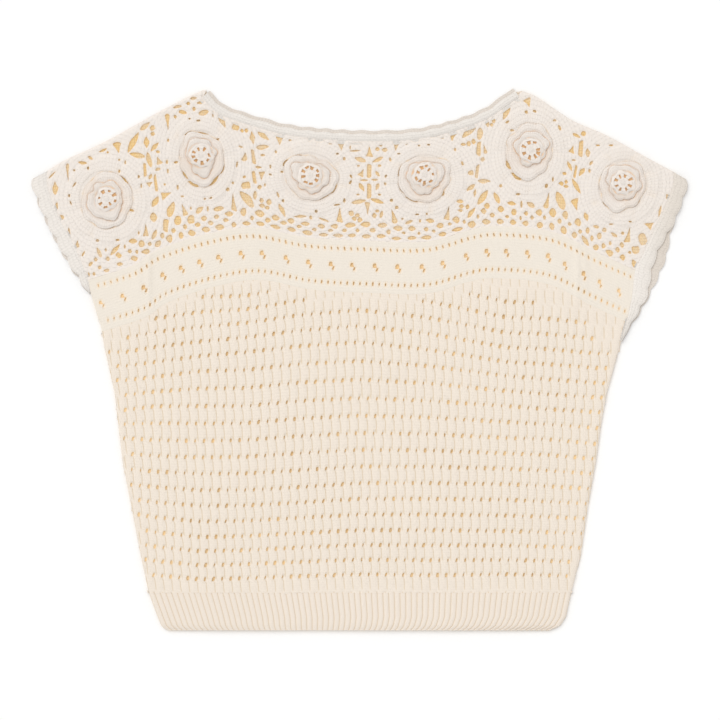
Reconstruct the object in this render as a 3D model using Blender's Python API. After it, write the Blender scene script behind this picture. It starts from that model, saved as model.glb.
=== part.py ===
"""A short cotton top, crocheted at the yoke and knitted below, laid flat with its front up.

Six crocheted rose squares make the yoke. A crocheted net joins them to a knitted body with a
smooth band, pointelle columns and a ribbed hem. Scalloped crochet edges the neck and armholes.
X runs across the garment, Y from the hem to the neck, and Z up from the surface it lies on.
Lengths are in millimetres up to the point where a mesh is made.
"""
from math import ceil, cos, exp, pi, radians, sin

import bmesh
import bpy
from mathutils import Matrix, Vector

MM = 0.001

# Cloth, layer by layer from the surface up.
SEAM = 0.3             # air between two pieces that are sewn or that lie on each other
BACK_WALL = 1.8        # every piece of the back
KNIT_WALL = 1.7        # the front body in the valleys between its ribs
KNIT_RISE = 0.9        # a rib of the front body or hem over its valley
YOKE_WALL = 2.6        # crocheted squares and net
EDGING_WALL = 2.9      # the doubled crochet of the edgings
FRONT_FLOOR = BACK_WALL + SEAM
ROSE_FLOOR = FRONT_FLOOR + YOKE_WALL + SEAM

# Knit repeats.
POINTELLE_COLUMNS = 52
HEM_RIBS = 74
HEM_HEIGHT = 35.5
HEM_LINE = -220.0      # where the ribbed hem begins

# Crochet repeats.
SCALLOP_PITCH = 17.0
ARM_SCALLOP = 2.6      # how far an arch stands out of its hollow
NECK_SCALLOP = 1.3
SCALLOP_STEPS = 4
NET_PITCH = 14.2
GAP_CLEARANCE = 1.5    # least crochet left between two gaps
EDGE_CLEARANCE = 2.2   # least crochet left between a gap and the yoke's edge
BACK_INSET = 1.0       # the back's body is this much narrower at each side, so it stays hidden

# The body's sides. Height, left edge, right edge.
BODY_SIDES = (
    (36, -247.1, 251.7),
    (13, -243.0, 246.0),
    (-30, -233.5, 234.0),
    (-60, -230.0, 228.5),
    (-94, -226.0, 223.8),
    (-139, -217.5, 215.8),
    (-185, -208.5, 209.0),
    (-220, -201.0, 200.0),
    (-243, -192.5, 195.0),
    (-252, -188.8, 189.0),
    (-255.5, -184.0, 181.0),
)

# The line where net and knitting meet, from left to right. Across, up.
BASE_LINE = (
    (-252.5, 79), (-215, 91), (-192, 105.5), (-147, 120), (-102, 126.4), (-51, 117.2), (6, 114),
    (63, 113.3), (106, 125), (132, 127.8), (182, 122.5), (225, 102.5), (260.5, 86.5),
)

# The inner edge of each armhole's edging, from the underarm up. Across, up.
LEFT_ARM_INNER = (
    (-247.6, 36), (-249.5, 62), (-252.7, 79), (-263, 95), (-273.5, 113), (-284, 132), (-292, 150),
    (-297.5, 168), (-297.5, 180),
)
RIGHT_ARM_INNER = (
    (252.2, 36), (257.5, 60), (260.7, 86.5), (268.4, 102), (273.5, 113), (279, 125), (286, 139),
    (292, 153), (297, 168), (297.5, 179),
)

# The mean outer edge of the same edgings.
LEFT_ARM_OUTER = (
    (-248.2, 36), (-254, 55), (-262, 70), (-273, 87), (-284.5, 106.5), (-295, 127), (-304, 147),
    (-311.6, 168), (-310.5, 172.8),
)
RIGHT_ARM_OUTER_FRONT = (
    (256.5, 36), (264.5, 48), (272.5, 63), (275.5, 81), (280, 98), (287.5, 114), (297.5, 131),
    (304.5, 149), (310.3, 166), (309, 172.6),
)
RIGHT_ARM_OUTER_BACK = (
    (257, 36), (266.5, 48), (275.5, 65), (284, 83), (290.5, 100), (293.5, 116), (298, 132),
    (305, 149.5), (310.6, 166), (309.2, 172.4),
)

# Shoulder folds, from the armhole's edging to the neck. Across, up.
LEFT_SHOULDER = ((-297.5, 180.4), (-279.8, 191), (-242, 208.5), (-183.8, 240.5), (-152, 256))
RIGHT_SHOULDER = ((297.5, 179.4), (270.2, 194), (234, 214), (201, 228.6), (168.4, 250), (154, 256.5))

# The neck from left to right: the edging's outer edge on the back. Across, up.
NECK_LINE = (
    (-143, 256.8), (-131, 244.6), (-113, 237), (-95, 231.6), (-70, 225), (-40, 221.2), (0, 219),
    (40, 219.6), (68, 223.6), (98, 232), (118, 240.4), (133, 251), (145, 259),
)
NECK_BACK_SHOW = 3.4    # how far the back's edging shows above the front's
NECK_BAND = 9.0         # width of the front's edging

# Rose medallions. Name, across, up, width, height, turn in degrees.
ROSES = (
    ("rose_1_left_sleeve", -240.8, 153.0, 50, 54, 20),
    ("rose_2_left_shoulder", -150.6, 191.4, 42, 54, 8),
    ("rose_3_left_chest", -47.1, 173.9, 53, 45, -14),
    ("rose_4_right_chest", 60.9, 172.0, 50, 46, 10),
    ("rose_5_right_shoulder", 160.5, 198.0, 45, 55, 0),
    ("rose_6_right_sleeve", 249.3, 165.7, 45, 50, -18),
)
ROSE_PETALS = 8
ROSE_STEPS = 4 * ROSE_PETALS
# Rings of a rose from its hub outwards. Share of the radius, height, swell at a petal's middle
# as a share of the radius, and rise at a petal's middle.
ROSE_RINGS = (
    (0.12, 4.4, 0.00, 0.0),
    (0.22, 2.4, 0.00, 1.8),
    (0.36, 2.6, 0.02, 1.6),
    (0.44, 4.6, 0.03, 0.0),
    (0.64, 6.2, 0.05, 0.5),
    (0.71, 2.6, 0.05, 0.0),
    (0.92, 4.2, 0.05, 0.6),
    (0.96, 3.0, 0.06, 0.5),
)

# Outlines of a gap in a square two units wide.
GAP_SHAPES = {
    "slot": ((-1, -1), (1, -1), (1, 1), (-1, 1)),
    "wedge": ((-1, -1), (1, -1), (0.1, 1)),
    "diamond": ((-1, 0), (0.1, -1), (1, 0), (-0.1, 1)),
    "lens": ((-1, -0.2), (-0.2, -1), (0.8, -0.5), (1, 0.4), (0.1, 1), (-0.8, 0.5)),
    "dart": ((0, -1), (0.9, 0.35), (0.3, 1), (-0.3, 1), (-0.9, 0.35)),
}

# The star of gaps between two squares. Shape, across, up, half width, half height, turn, and
# whether the other side has it too.
STAR_GAPS = (
    ("wedge", 0.0, 27.4, 3.6, 4.2, 0, False),
    ("slot", 0.0, 10.0, 1.9, 5.6, 0, False),
    ("slot", 0.0, -9.5, 2.0, 6.0, 0, False),
    ("dart", 0.0, -27.5, 2.4, 5.6, 0, False),
    ("wedge", 7.4, 7.6, 2.4, 3.6, -8, True),
    ("wedge", 7.2, -6.4, 2.1, 3.4, 188, True),
    ("lens", 10.6, -19.6, 6.4, 2.1, -10, True),
    ("lens", 12.4, -32.6, 6.4, 4.8, 38, True),
    ("slot", 12.0, 31.4, 6.6, 3.0, 0, True),
    ("wedge", 26.6, -34.0, 2.7, 5.6, 0, True),
    ("wedge", 27.2, 34.6, 3.8, 3.8, 180, True),
)
# Where the stars lie. Across, up, turn in degrees, scale across, scale of the upper half, scale
# of the lower half.
STARS = (
    (-199.0, 187.5, 9, 0.85, 1.10, 1.40),
    (-101.0, 184.2, 3, 0.84, 1.00, 1.02),
    (8.0, 171.5, 0, 1.00, 1.00, 1.00),
    (112.6, 189.0, -4, 0.86, 0.98, 1.26),
    (206.6, 191.0, -14, 0.72, 0.95, 1.26),
)
# Crescents below each rose. Across, up from the rose, half width, half height, turn.
ROSE_GAPS = (
    (-26.5, -34.5, 5.0, 2.0, -50),
    (-10.0, -39.4, 4.4, 1.9, -8),
    (9.5, -40.0, 4.6, 1.9, 10),
)
# Gaps of the half stars at the armholes. Shape, across, up, half width, half height, turn.
ARMHOLE_GAPS = (
    ("lens", -291.0, 163.5, 3.2, 5.4, 0),
    ("wedge", -230.0, 203.0, 3.6, 3.8, 180),
    ("lens", -283.8, 137.5, 2.4, 2.6, 0),
    ("lens", -270.8, 110.5, 2.6, 3.0, 0),
    ("wedge", 274.0, 128.6, 4.4, 3.0, 180),
    ("lens", 265.6, 118.2, 4.2, 6.6, 10),
    ("wedge", 253.4, 117.6, 2.6, 5.6, -12),
    ("lens", 259.6, 106.0, 4.4, 3.2, -40),
    ("dart", 157.5, 245.4, 4.2, 3.2, 90),
    ("lens", -158.0, 245.0, 4.4, 2.4, 20),
    ("lens", -172.0, 236.0, 4.0, 2.6, -20),
    ("dart", -216.0, 214.0, 3.0, 4.0, 30),
)
# Rows of the net, counted up from the base line. Height above it, half width, half height,
# shift along the row as a share of the pitch.
NET_ROWS = (
    (5.2, 4.3, 2.1, 0.0),
    (10.2, 2.6, 1.9, 0.5),
    (15.4, 4.0, 2.1, 0.0),
    (20.6, 2.6, 1.9, 0.5),
)

# Soft upright creases beside the armholes. Across, lowest and highest point, rise, spread.
CREASES = (
    (-202.0, 55.0, 108.0, 1.0, 6.0),
    (208.0, 55.0, 112.0, 1.0, 6.0),
)

# Rows of the front body from its base line, 0, to the hem, 1: share of the way down and share
# of the ribs' rise.
BODY_ROWS = ((0.0, 0.0), (0.05, 0.0), (0.11, 0.0), (0.16, 0.3), (0.2, 1.0), (0.45, 1.0),
             (0.7, 1.0), (1.0, 1.0))
HEM_ROWS = (0.0, 0.45, 0.8, 1.0)

COTTON = (0.86, 0.78, 0.67)
CROCHET = (0.87, 0.80, 0.72)


def along(line, shares):
    """The points that lie at the given shares of a broken line's length."""
    spans = [(b - a).length for a, b in zip(line, line[1:])]
    total = sum(spans)
    found = []
    for share in shares:
        rest = min(max(share, 0.0), 1.0) * total
        index = 0
        while index < len(spans) - 1 and rest > spans[index]:
            rest -= spans[index]
            index += 1
        found.append(line[index].lerp(line[index + 1], rest / spans[index]))
    return found


def curve_through(table, steps):
    """A smooth curve through the table's points, cut into even steps."""
    knots = [Vector(row) for row in table]
    knots = [2 * knots[0] - knots[1]] + knots + [2 * knots[-1] - knots[-2]]
    fine = []
    per_knot = 12
    for a, b, c, d in zip(knots, knots[1:], knots[2:], knots[3:]):
        for step in range(per_knot):
            t = step / per_knot
            bend = 2 * a - 5 * b + 4 * c - d
            twist = 3 * b - a - 3 * c + d
            fine.append(0.5 * (2 * b + (c - a) * t + bend * t * t + twist * t ** 3))
    fine.append(knots[-2])
    return along(fine, [step / steps for step in range(steps + 1)])


def moved_aside(line, distances):
    """The line with each point moved to its left by its own distance."""
    result = []
    for index, point in enumerate(line):
        ahead = line[min(index + 1, len(line) - 1)]
        behind = line[max(index - 1, 0)]
        run = (ahead - behind).normalized()
        result.append(point + Vector((-run.y, run.x)) * distances[index])
    return result


def shifted(line, distance):
    """The line moved to its left all along."""
    return moved_aside(line, [distance] * len(line))


def side_at(height, column):
    """A side's place at a height: the armhole's inner edge, and the body's side below it."""
    if height >= BODY_SIDES[0][0]:
        arm = LEFT_ARM_INNER if column == 1 else RIGHT_ARM_INNER
        inwards = 1 if column == 1 else -1
        for a, b in zip(arm, arm[1:]):
            if height <= b[1]:
                return a[0] + (b[0] - a[0]) * (height - a[1]) / (b[1] - a[1]) + inwards * 2 * SEAM
    for upper, lower in zip(BODY_SIDES, BODY_SIDES[1:]):
        if height >= lower[0]:
            share = (upper[0] - height) / (upper[0] - lower[0])
            return upper[column] + (lower[column] - upper[column]) * min(max(share, 0), 1)
    return BODY_SIDES[-1][column]


def material(name, colour):
    """A matt cotton material."""
    made = bpy.data.materials.get(name) or bpy.data.materials.new(name)
    made.use_nodes = True
    shader = made.node_tree.nodes["Principled BSDF"]
    shader.inputs["Base Color"].default_value = (*colour, 1.0)
    shader.inputs["Roughness"].default_value = 0.95
    shader.inputs["Metallic"].default_value = 0.0
    return made


def add_object(name, data, colour_name, colour):
    """Put new mesh or curve data in the garment's collection."""
    data.materials.append(material(colour_name, colour))
    made = bpy.data.objects.new(name, data)
    GARMENT.objects.link(made)
    return made


def sheet(name, rows, floor, colour_name, colour):
    """A closed wall: rows of points are its upper face, and its underside is flat."""
    bm = bmesh.new()
    grid = [[bm.verts.new(Vector(point) * MM) for point in row] for row in rows]
    for lower, upper in zip(grid, grid[1:]):
        for a, b, c, d in zip(lower, lower[1:], upper[1:], upper):
            bm.faces.new((a, b, c, d))
    rim = [edge for edge in bm.edges if edge.is_boundary]
    drop = bmesh.ops.extrude_edge_only(bm, edges=rim)["geom"]
    for item in drop:
        if isinstance(item, bmesh.types.BMVert):
            item.co.z = floor * MM
    lower_rim = [edge for edge in bm.edges if edge.is_boundary]
    bmesh.ops.contextual_create(bm, geom=lower_rim)
    bmesh.ops.recalc_face_normals(bm, faces=bm.faces)
    mesh = bpy.data.meshes.new(name)
    bm.to_mesh(mesh)
    bm.free()
    return add_object(name, mesh, colour_name, colour)


def plate(name, outline, gaps, floor, wall, colour_name, colour):
    """A flat piece of crochet cut to an outline, with gaps cut through it."""
    curve = bpy.data.curves.new(name, "CURVE")
    curve.dimensions = "2D"
    curve.fill_mode = "BOTH"
    curve.extrude = wall / 2 * MM
    for ring in [outline, *gaps]:
        spline = curve.splines.new("POLY")
        spline.points.add(len(ring) - 1)
        for index, point in enumerate(ring):
            spline.points[index].co = (point.x * MM, point.y * MM, 0.0, 1.0)
        spline.use_cyclic_u = True
    made = add_object(name, curve, colour_name, colour)
    made.location.z = (floor + wall / 2) * MM
    return made


def rim_height(share, wall):
    """A wall's upper face, rolled down a little at both edges of the cloth."""
    return wall * (1.0 - 0.35 * (2 * abs(share - 0.5)) ** 6)


def body_rows(rows, columns, inset, shape):
    """Rows of points over a body panel, from the net down to the hem's first row."""
    base = shifted(curve_through(BASE_LINE, columns), -SEAM / 2)
    grid = []
    for down, _ in rows:
        left_y = base[0].y + (HEM_LINE - base[0].y) * down
        right_y = base[-1].y + (HEM_LINE - base[-1].y) * down
        left = side_at(left_y, 1) + inset
        right = side_at(right_y, 2) - inset
        row = []
        for index, point in enumerate(base):
            start = (point.x - base[0].x) / (base[-1].x - base[0].x)
            share = start + (index / columns - start) * down
            x = left + (right - left) * share
            y = point.y + (HEM_LINE + SEAM / 2 - point.y) * down
            row.append((x, y, shape(x, y, index, down)))
        grid.append(row)
    return grid


def crease_rise(x, y):
    """How far the soft creases beside the armholes lift the cloth."""
    rise = 0.0
    for across, low, high, height, spread in CREASES:
        if low <= y <= high:
            fade = sin(pi * (y - low) / (high - low))
            rise += height * fade * exp(-((x - across) / spread) ** 2)
    return rise


def make_front_body():
    """The knitted front: a smooth band above raised pointelle columns."""
    columns = 2 * POINTELLE_COLUMNS
    strength = dict(BODY_ROWS)

    def shape(x, y, index, down):
        rib = KNIT_RISE * strength[down] * (index % 2)
        edge = rim_height(index / columns, KNIT_WALL)
        return FRONT_FLOOR + edge + rib + crease_rise(x, y)

    rows = body_rows(BODY_ROWS, columns, 0.0, shape)
    return sheet("front_body", rows, FRONT_FLOOR, "knit_cotton", COTTON)


def make_back_body():
    """The knitted back, plain because it lies face down and the front covers it."""
    rows = body_rows(((0.0, 0), (0.25, 0), (0.5, 0), (0.75, 0), (1.0, 0)), POINTELLE_COLUMNS // 2,
                     BACK_INSET, lambda x, y, index, down: BACK_WALL)
    return sheet("back_body", rows, 0.0, "knit_cotton", COTTON)


def hem_rows(columns, inset, shape):
    """Rows of points over a ribbed hem, from the body down to the cast-off edge."""
    top = HEM_LINE - SEAM / 2
    grid = []
    for down in HEM_ROWS:
        y = top - (HEM_HEIGHT - SEAM / 2) * down
        left = side_at(y, 1) + inset
        right = side_at(y, 2) - inset
        row = []
        for index in range(columns + 1):
            x = left + (right - left) * index / columns
            row.append((x, y, shape(index, down)))
        grid.append(row)
    return grid


def make_hems():
    """The ribbed hem of the front, with raised ribs, and that of the back, plain."""
    columns = 2 * HEM_RIBS

    def ribbed(index, down):
        edge = rim_height(0.5 + down / 2, KNIT_WALL)
        return FRONT_FLOOR + edge + KNIT_RISE * (index % 2)

    sheet("front_hem_rib", hem_rows(columns, 0.0, ribbed), FRONT_FLOOR, "knit_cotton", COTTON)
    sheet("back_hem_rib", hem_rows(HEM_RIBS // 4, BACK_INSET, lambda index, down: BACK_WALL), 0.0,
          "knit_cotton", COTTON)


def scalloped(line, depth):
    """The line drawn out into the small arches of a shell edging, to its left."""
    length = sum((b - a).length for a, b in zip(line, line[1:]))
    steps = SCALLOP_STEPS * round(length / SCALLOP_PITCH)
    points = along(line, [step / steps for step in range(steps + 1)])
    bulge = [depth * (abs(sin(pi * step / SCALLOP_STEPS)) - 0.6) for step in range(steps + 1)]
    bulge[0] = bulge[-1] = 0.0
    return moved_aside(points, bulge)


def make_edging(name, inner_line, outer_line, floor, wall, depth):
    """A crocheted band between a plain inner line and a scalloped outer line."""
    outer = scalloped(outer_line, depth)
    steps = len(outer) - 1
    inner = along(inner_line, [step / steps for step in range(steps + 1)])
    rows = []
    for share in (0.0, 0.35, 0.75, 1.0):
        rows.append([(*a.lerp(b, share), floor + rim_height(share, wall)) for a, b in zip(inner, outer)])
    return sheet(name, rows, floor, "crochet_cotton", CROCHET)


def neck_lines(lowered):
    """The outer and inner line of the neck's edging, from left to right."""
    outer = shifted(curve_through(NECK_LINE, 48), -lowered)
    inner = shifted(outer, -NECK_BAND)
    return outer, inner


def make_edgings():
    """The neck's and the armholes' edgings, on the front and on the back."""
    front_outer, front_inner = neck_lines(NECK_BACK_SHOW)
    back_outer, back_inner = neck_lines(0.0)
    make_edging("neck_edging_front", shifted(front_inner, SEAM / 2), front_outer, FRONT_FLOOR,
                EDGING_WALL, NECK_SCALLOP)
    make_edging("neck_edging_back", shifted(back_inner, SEAM / 2), back_outer, 0.0, BACK_WALL,
                NECK_SCALLOP)
    left_inner = shifted(curve_through(LEFT_ARM_INNER, 40), SEAM / 2)
    left_outer = curve_through(LEFT_ARM_OUTER, 40)
    make_edging("left_armhole_edging_front", left_inner, left_outer, FRONT_FLOOR, EDGING_WALL,
                ARM_SCALLOP)
    make_edging("left_armhole_edging_back", left_inner, left_outer, 0.0, BACK_WALL, ARM_SCALLOP)
    right_inner = shifted(curve_through(RIGHT_ARM_INNER, 40), -SEAM / 2)[::-1]
    front = curve_through(RIGHT_ARM_OUTER_FRONT, 40)[::-1]
    back = curve_through(RIGHT_ARM_OUTER_BACK, 40)[::-1]
    make_edging("right_armhole_edging_front", right_inner, front, FRONT_FLOOR, EDGING_WALL,
                ARM_SCALLOP)
    make_edging("right_armhole_edging_back", right_inner, back, 0.0, BACK_WALL, ARM_SCALLOP)


def yoke_outline(columns, lowered):
    """The yoke's outline, anticlockwise from the left end of its base line."""
    base = shifted(curve_through(BASE_LINE, columns), SEAM / 2)
    right = shifted(curve_through(RIGHT_ARM_INNER, 40), SEAM / 2)
    left = shifted(curve_through(LEFT_ARM_INNER, 40), -SEAM / 2)
    right = [point for point in right if point.y > base[-1].y + 2]
    left = [point for point in left if point.y > base[0].y + 2]
    neck = shifted(neck_lines(lowered)[1], -SEAM / 2)[::-1]
    right_shoulder = curve_through(RIGHT_SHOULDER, 10)
    left_shoulder = curve_through(LEFT_SHOULDER, 10)[::-1]
    return base + right[:-1] + right_shoulder + neck + left_shoulder + left[-2::-1]


def gap_ring(shape, across, up, half_width, half_height, turn, mirror=1):
    """One gap's outline, turned about its own middle."""
    spin = Matrix.Rotation(radians(turn * mirror), 2)
    ring = []
    for x, y in GAP_SHAPES[shape]:
        ring.append(spin @ Vector((x * half_width * mirror, y * half_height)) + Vector((across, up)))
    return ring


def distance_to(point, ring):
    """How far a point lies from a closed ring of points."""
    nearest = float("inf")
    for a, b in zip(ring, ring[1:] + ring[:1]):
        run = b - a
        share = min(max((point - a).dot(run) / run.length_squared, 0.0), 1.0)
        nearest = min(nearest, (point - a - run * share).length)
    return nearest


def inside(point, ring):
    """Whether a point lies in a closed ring of points."""
    crossings = 0
    for a, b in zip(ring, ring[1:] + ring[:1]):
        if (a.y > point.y) != (b.y > point.y):
            if point.x < a.x + (b.x - a.x) * (point.y - a.y) / (b.y - a.y):
                crossings += 1
    return crossings % 2 == 1


def fits(ring, placed, outline):
    """Whether a gap leaves enough crochet to the yoke's edge and to the gaps placed before it."""
    if any(not inside(point, outline) for point in ring):
        return False
    if any(distance_to(point, outline) < EDGE_CLEARANCE for point in ring):
        return False
    for other in placed:
        if (other[0] - ring[0]).length > 40:
            continue
        if any(distance_to(point, other) < GAP_CLEARANCE or inside(point, other) for point in ring):
            return False
        if any(distance_to(point, ring) < GAP_CLEARANCE or inside(point, ring) for point in other):
            return False
    return True


def star_rings():
    """The gaps of every star between two squares."""
    for across, up, turn, wide, tall_above, tall_below in STARS:
        spin = Matrix.Rotation(radians(turn), 2)
        for shape, x, y, half_width, half_height, own_turn, both in STAR_GAPS:
            tall = tall_above if y > 0 else tall_below
            for mirror in ((1, -1) if both else (1,)):
                middle = spin @ Vector((x * wide * mirror, y * tall)) + Vector((across, up))
                yield gap_ring(shape, *middle, half_width * wide, half_height * tall,
                               own_turn + turn * mirror, mirror)


def rose_rings():
    """The crescents below every rose."""
    for _, across, up, width, height, _ in ROSES:
        for x, y, half_width, half_height, turn in ROSE_GAPS:
            yield gap_ring("lens", across + x * width / 52, up + y * height / 52, half_width,
                           half_height, turn)


def net_rings():
    """The rows of the net above the base line."""
    base = curve_through(BASE_LINE, 200)
    length = sum((b - a).length for a, b in zip(base, base[1:]))
    count = ceil(length / NET_PITCH)
    for height, half_width, half_height, shift in NET_ROWS:
        line = shifted(base, height)
        for index in range(count):
            share = (index + 0.5 + shift) / count
            if share > 1:
                continue
            middle, ahead = along(line, (share, min(share + 0.004, 1.0)))
            run = ahead - middle
            turn = 0.0 if run.length == 0 else run.angle_signed(Vector((1, 0))) * 180 / pi
            yield gap_ring("diamond", middle.x, middle.y, half_width, half_height, turn)


def yoke_gaps(outline):
    """Every gap over 4 mm that is cut through the front yoke."""
    placed = []
    armholes = [gap_ring(*row) for row in ARMHOLE_GAPS]
    for ring in [*star_rings(), *armholes, *rose_rings(), *net_rings()]:
        if fits(ring, placed, outline):
            placed.append(ring)
    return placed


def make_yokes():
    """The front's rose squares and net in one piece, and the back's, closed and plain."""
    outline = yoke_outline(2 * POINTELLE_COLUMNS, NECK_BACK_SHOW)
    gaps = yoke_gaps(outline)
    print("gaps in the front yoke:", len(gaps))
    plate("front_yoke", outline, gaps, FRONT_FLOOR, YOKE_WALL, "crochet_cotton", CROCHET)
    plate("back_yoke", yoke_outline(POINTELLE_COLUMNS // 2, 0.0), [], 0.0, BACK_WALL,
          "crochet_cotton", CROCHET)


def make_rose(name, across, up, width, height, turn):
    """A raised rose: a spoked hub inside two rings of petals, on a flat underside."""
    bm = bmesh.new()
    top = bm.verts.new((0, 0, (ROSE_FLOOR + ROSE_RINGS[0][1]) * MM))
    spin = Matrix.Rotation(radians(turn), 2)
    rings = []
    for share, rise, swell, lift in ROSE_RINGS:
        ring = []
        for step in range(ROSE_STEPS):
            petal = cos(2 * pi * step * ROSE_PETALS / ROSE_STEPS)
            reach = share + swell * petal
            angle = 2 * pi * step / ROSE_STEPS
            flat = spin @ Vector((cos(angle) * width / 2 * reach, sin(angle) * height / 2 * reach))
            ring.append(bm.verts.new(Vector((*flat, ROSE_FLOOR + rise + lift * petal)) * MM))
        rings.append(ring)
    for a, b in zip(rings[0], rings[0][1:] + rings[0][:1]):
        bm.faces.new((top, a, b))
    for inner, outer in zip(rings, rings[1:]):
        for a, b, c, d in zip(inner, inner[1:] + inner[:1], outer[1:] + outer[:1], outer):
            bm.faces.new((a, b, c, d))
    rim = [edge for edge in bm.edges if edge.is_boundary]
    for item in bmesh.ops.extrude_edge_only(bm, edges=rim)["geom"]:
        if isinstance(item, bmesh.types.BMVert):
            item.co.z = ROSE_FLOOR * MM
    bmesh.ops.contextual_create(bm, geom=[edge for edge in bm.edges if edge.is_boundary])
    bmesh.ops.recalc_face_normals(bm, faces=bm.faces)
    mesh = bpy.data.meshes.new(name)
    bm.to_mesh(mesh)
    bm.free()
    made = add_object(name, mesh, "crochet_cotton", CROCHET)
    made.location = (across * MM, up * MM, 0.0)
    return made


def centre_on_origin():
    """Move the whole garment so that the middle of its box lies over the origin."""
    bpy.context.view_layer.update()
    corners = [made.matrix_world @ Vector(corner) for made in GARMENT.objects for corner in made.bound_box]
    middle_x = (min(c.x for c in corners) + max(c.x for c in corners)) / 2
    middle_y = (min(c.y for c in corners) + max(c.y for c in corners)) / 2
    for made in GARMENT.objects:
        made.location.x -= middle_x
        made.location.y -= middle_y
    print("moved by", round(-middle_x / MM, 3), round(-middle_y / MM, 3), "mm")


for leftover in list(bpy.data.objects):
    bpy.data.objects.remove(leftover)
GARMENT = bpy.data.collections.new("crochet_yoke_top")
bpy.context.scene.collection.children.link(GARMENT)

make_back_body()
make_front_body()
make_hems()
make_yokes()
make_edgings()
for rose in ROSES:
    make_rose(*rose)
centre_on_origin()
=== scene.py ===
# %% [markdown]
# # A crochet-yoke top, laid flat
#
# The real thing is a short cotton top. Six crocheted rose squares make the yoke, a crocheted net
# joins them to a knitted body, and bands of crochet edge the neck and the armholes. It lies on its
# back on a table, so this lesson builds cloth that rests on cloth: thin shells with real holes, a
# little relief, and materials that draw the stitches that are too small to model.
#
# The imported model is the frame. It holds plain solids of the right size, and every piece below
# takes the place of one or more of them.

import random
from collections import namedtuple
from math import atan2, cos, degrees, exp, floor, hypot, pi, radians, sin, sqrt

import bpy
from mathutils import Matrix, Vector, geometry, kdtree, noise

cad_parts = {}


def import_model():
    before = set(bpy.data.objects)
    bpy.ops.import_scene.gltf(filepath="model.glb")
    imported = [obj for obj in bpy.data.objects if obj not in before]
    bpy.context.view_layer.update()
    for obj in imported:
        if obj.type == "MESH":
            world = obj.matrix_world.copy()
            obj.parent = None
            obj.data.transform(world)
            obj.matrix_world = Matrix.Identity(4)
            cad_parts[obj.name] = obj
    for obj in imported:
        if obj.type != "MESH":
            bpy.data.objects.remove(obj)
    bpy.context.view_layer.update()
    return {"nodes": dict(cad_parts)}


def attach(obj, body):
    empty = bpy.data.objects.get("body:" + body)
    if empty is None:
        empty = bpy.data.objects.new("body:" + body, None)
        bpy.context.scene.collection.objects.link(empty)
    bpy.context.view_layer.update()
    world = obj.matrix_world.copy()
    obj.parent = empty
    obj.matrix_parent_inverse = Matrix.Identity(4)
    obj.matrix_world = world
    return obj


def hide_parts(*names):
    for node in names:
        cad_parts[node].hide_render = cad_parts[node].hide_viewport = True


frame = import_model()
random.seed(11)
print("solids in the frame:", len(frame["nodes"]))

# %% [markdown]
# ## Measures
#
# The garment was measured on a flat picture, 720 steps wide, at 0.95 mm a step. Tables below keep
# those steps, because a maker can lay a grid over the cloth and check them. `spot` turns a place
# on that grid into millimetres on the garment, and `world` turns those into metres in the frame,
# whose origin is the middle of the garment's box.

# %% Turn measured places into places in the frame
MM = 0.001
STEP = 0.95                       # mm that one step of the measuring grid covers
GRID_MIDDLE = (360.5, 361.0)
SHIFT = (0.387, -1.75)            # mm from the measuring origin to the frame's


def spot(x, y):
    """Millimetres across and up for a place on the measuring grid."""
    return Vector(((x - GRID_MIDDLE[0]) * STEP, (GRID_MIDDLE[1] - y) * STEP))


def world(x, y, z):
    """A place in the frame, in metres."""
    return ((x + SHIFT[0]) * MM, (y + SHIFT[1]) * MM, z * MM)


print("the grid's middle lies at", world(*spot(360, 360), 0)[:2])

# %% [markdown]
# ## Light, floor and camera
#
# Cloth on a pale table under a wide soft light shows its relief through small shadows only. One
# broad sun gives those shadows a direction and an even sky fills them. The camera looks straight
# down through a long lens, so that all of the top is seen square on.

# %% Set the floor, the light and the camera
VIEW_WIDTH = 0.684                # metres of table across the picture
CAMERA_HEIGHT = 4.0
CAMERA_ASIDE = (-0.00009, -0.0008)
SENSOR = 36.0                     # mm

bpy.ops.object.select_all(action="DESELECT")
bpy.ops.mesh.primitive_plane_add(size=6.0, location=(0, 0, -0.0002))
table = bpy.context.object
table.name = "table_top"

bpy.ops.object.light_add(type="SUN", rotation=(radians(-26), radians(-20), 0))
sun = bpy.context.object
sun.data.energy = 1.15
sun.data.angle = radians(50)
sun.data.color = (1.0, 0.99, 0.975)

sky = bpy.context.scene.world or bpy.data.worlds.new("studio")
bpy.context.scene.world = sky
sky.use_nodes = True
sky.node_tree.nodes["Background"].inputs["Color"].default_value = (1.0, 1.0, 1.0, 1.0)
sky.node_tree.nodes["Background"].inputs["Strength"].default_value = 0.74

bpy.ops.object.camera_add(location=(*CAMERA_ASIDE, CAMERA_HEIGHT), rotation=(0, 0, 0))
camera = bpy.context.object
camera.data.sensor_width = SENSOR
camera.data.lens = SENSOR * CAMERA_HEIGHT / VIEW_WIDTH
camera.data.clip_end = 20.0
bpy.context.scene.camera = camera
bpy.context.scene.view_settings.view_transform = "Standard"
print("lens", round(camera.data.lens, 1), "mm")

# %% [markdown]
# ## The garment's lines
#
# The body's sides, the wavy line where net and knitting meet, the armholes, the shoulders and the
# neck are all the shape that the pieces need. Short tables of points and a smooth curve through
# them keep each line easy to move.

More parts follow.
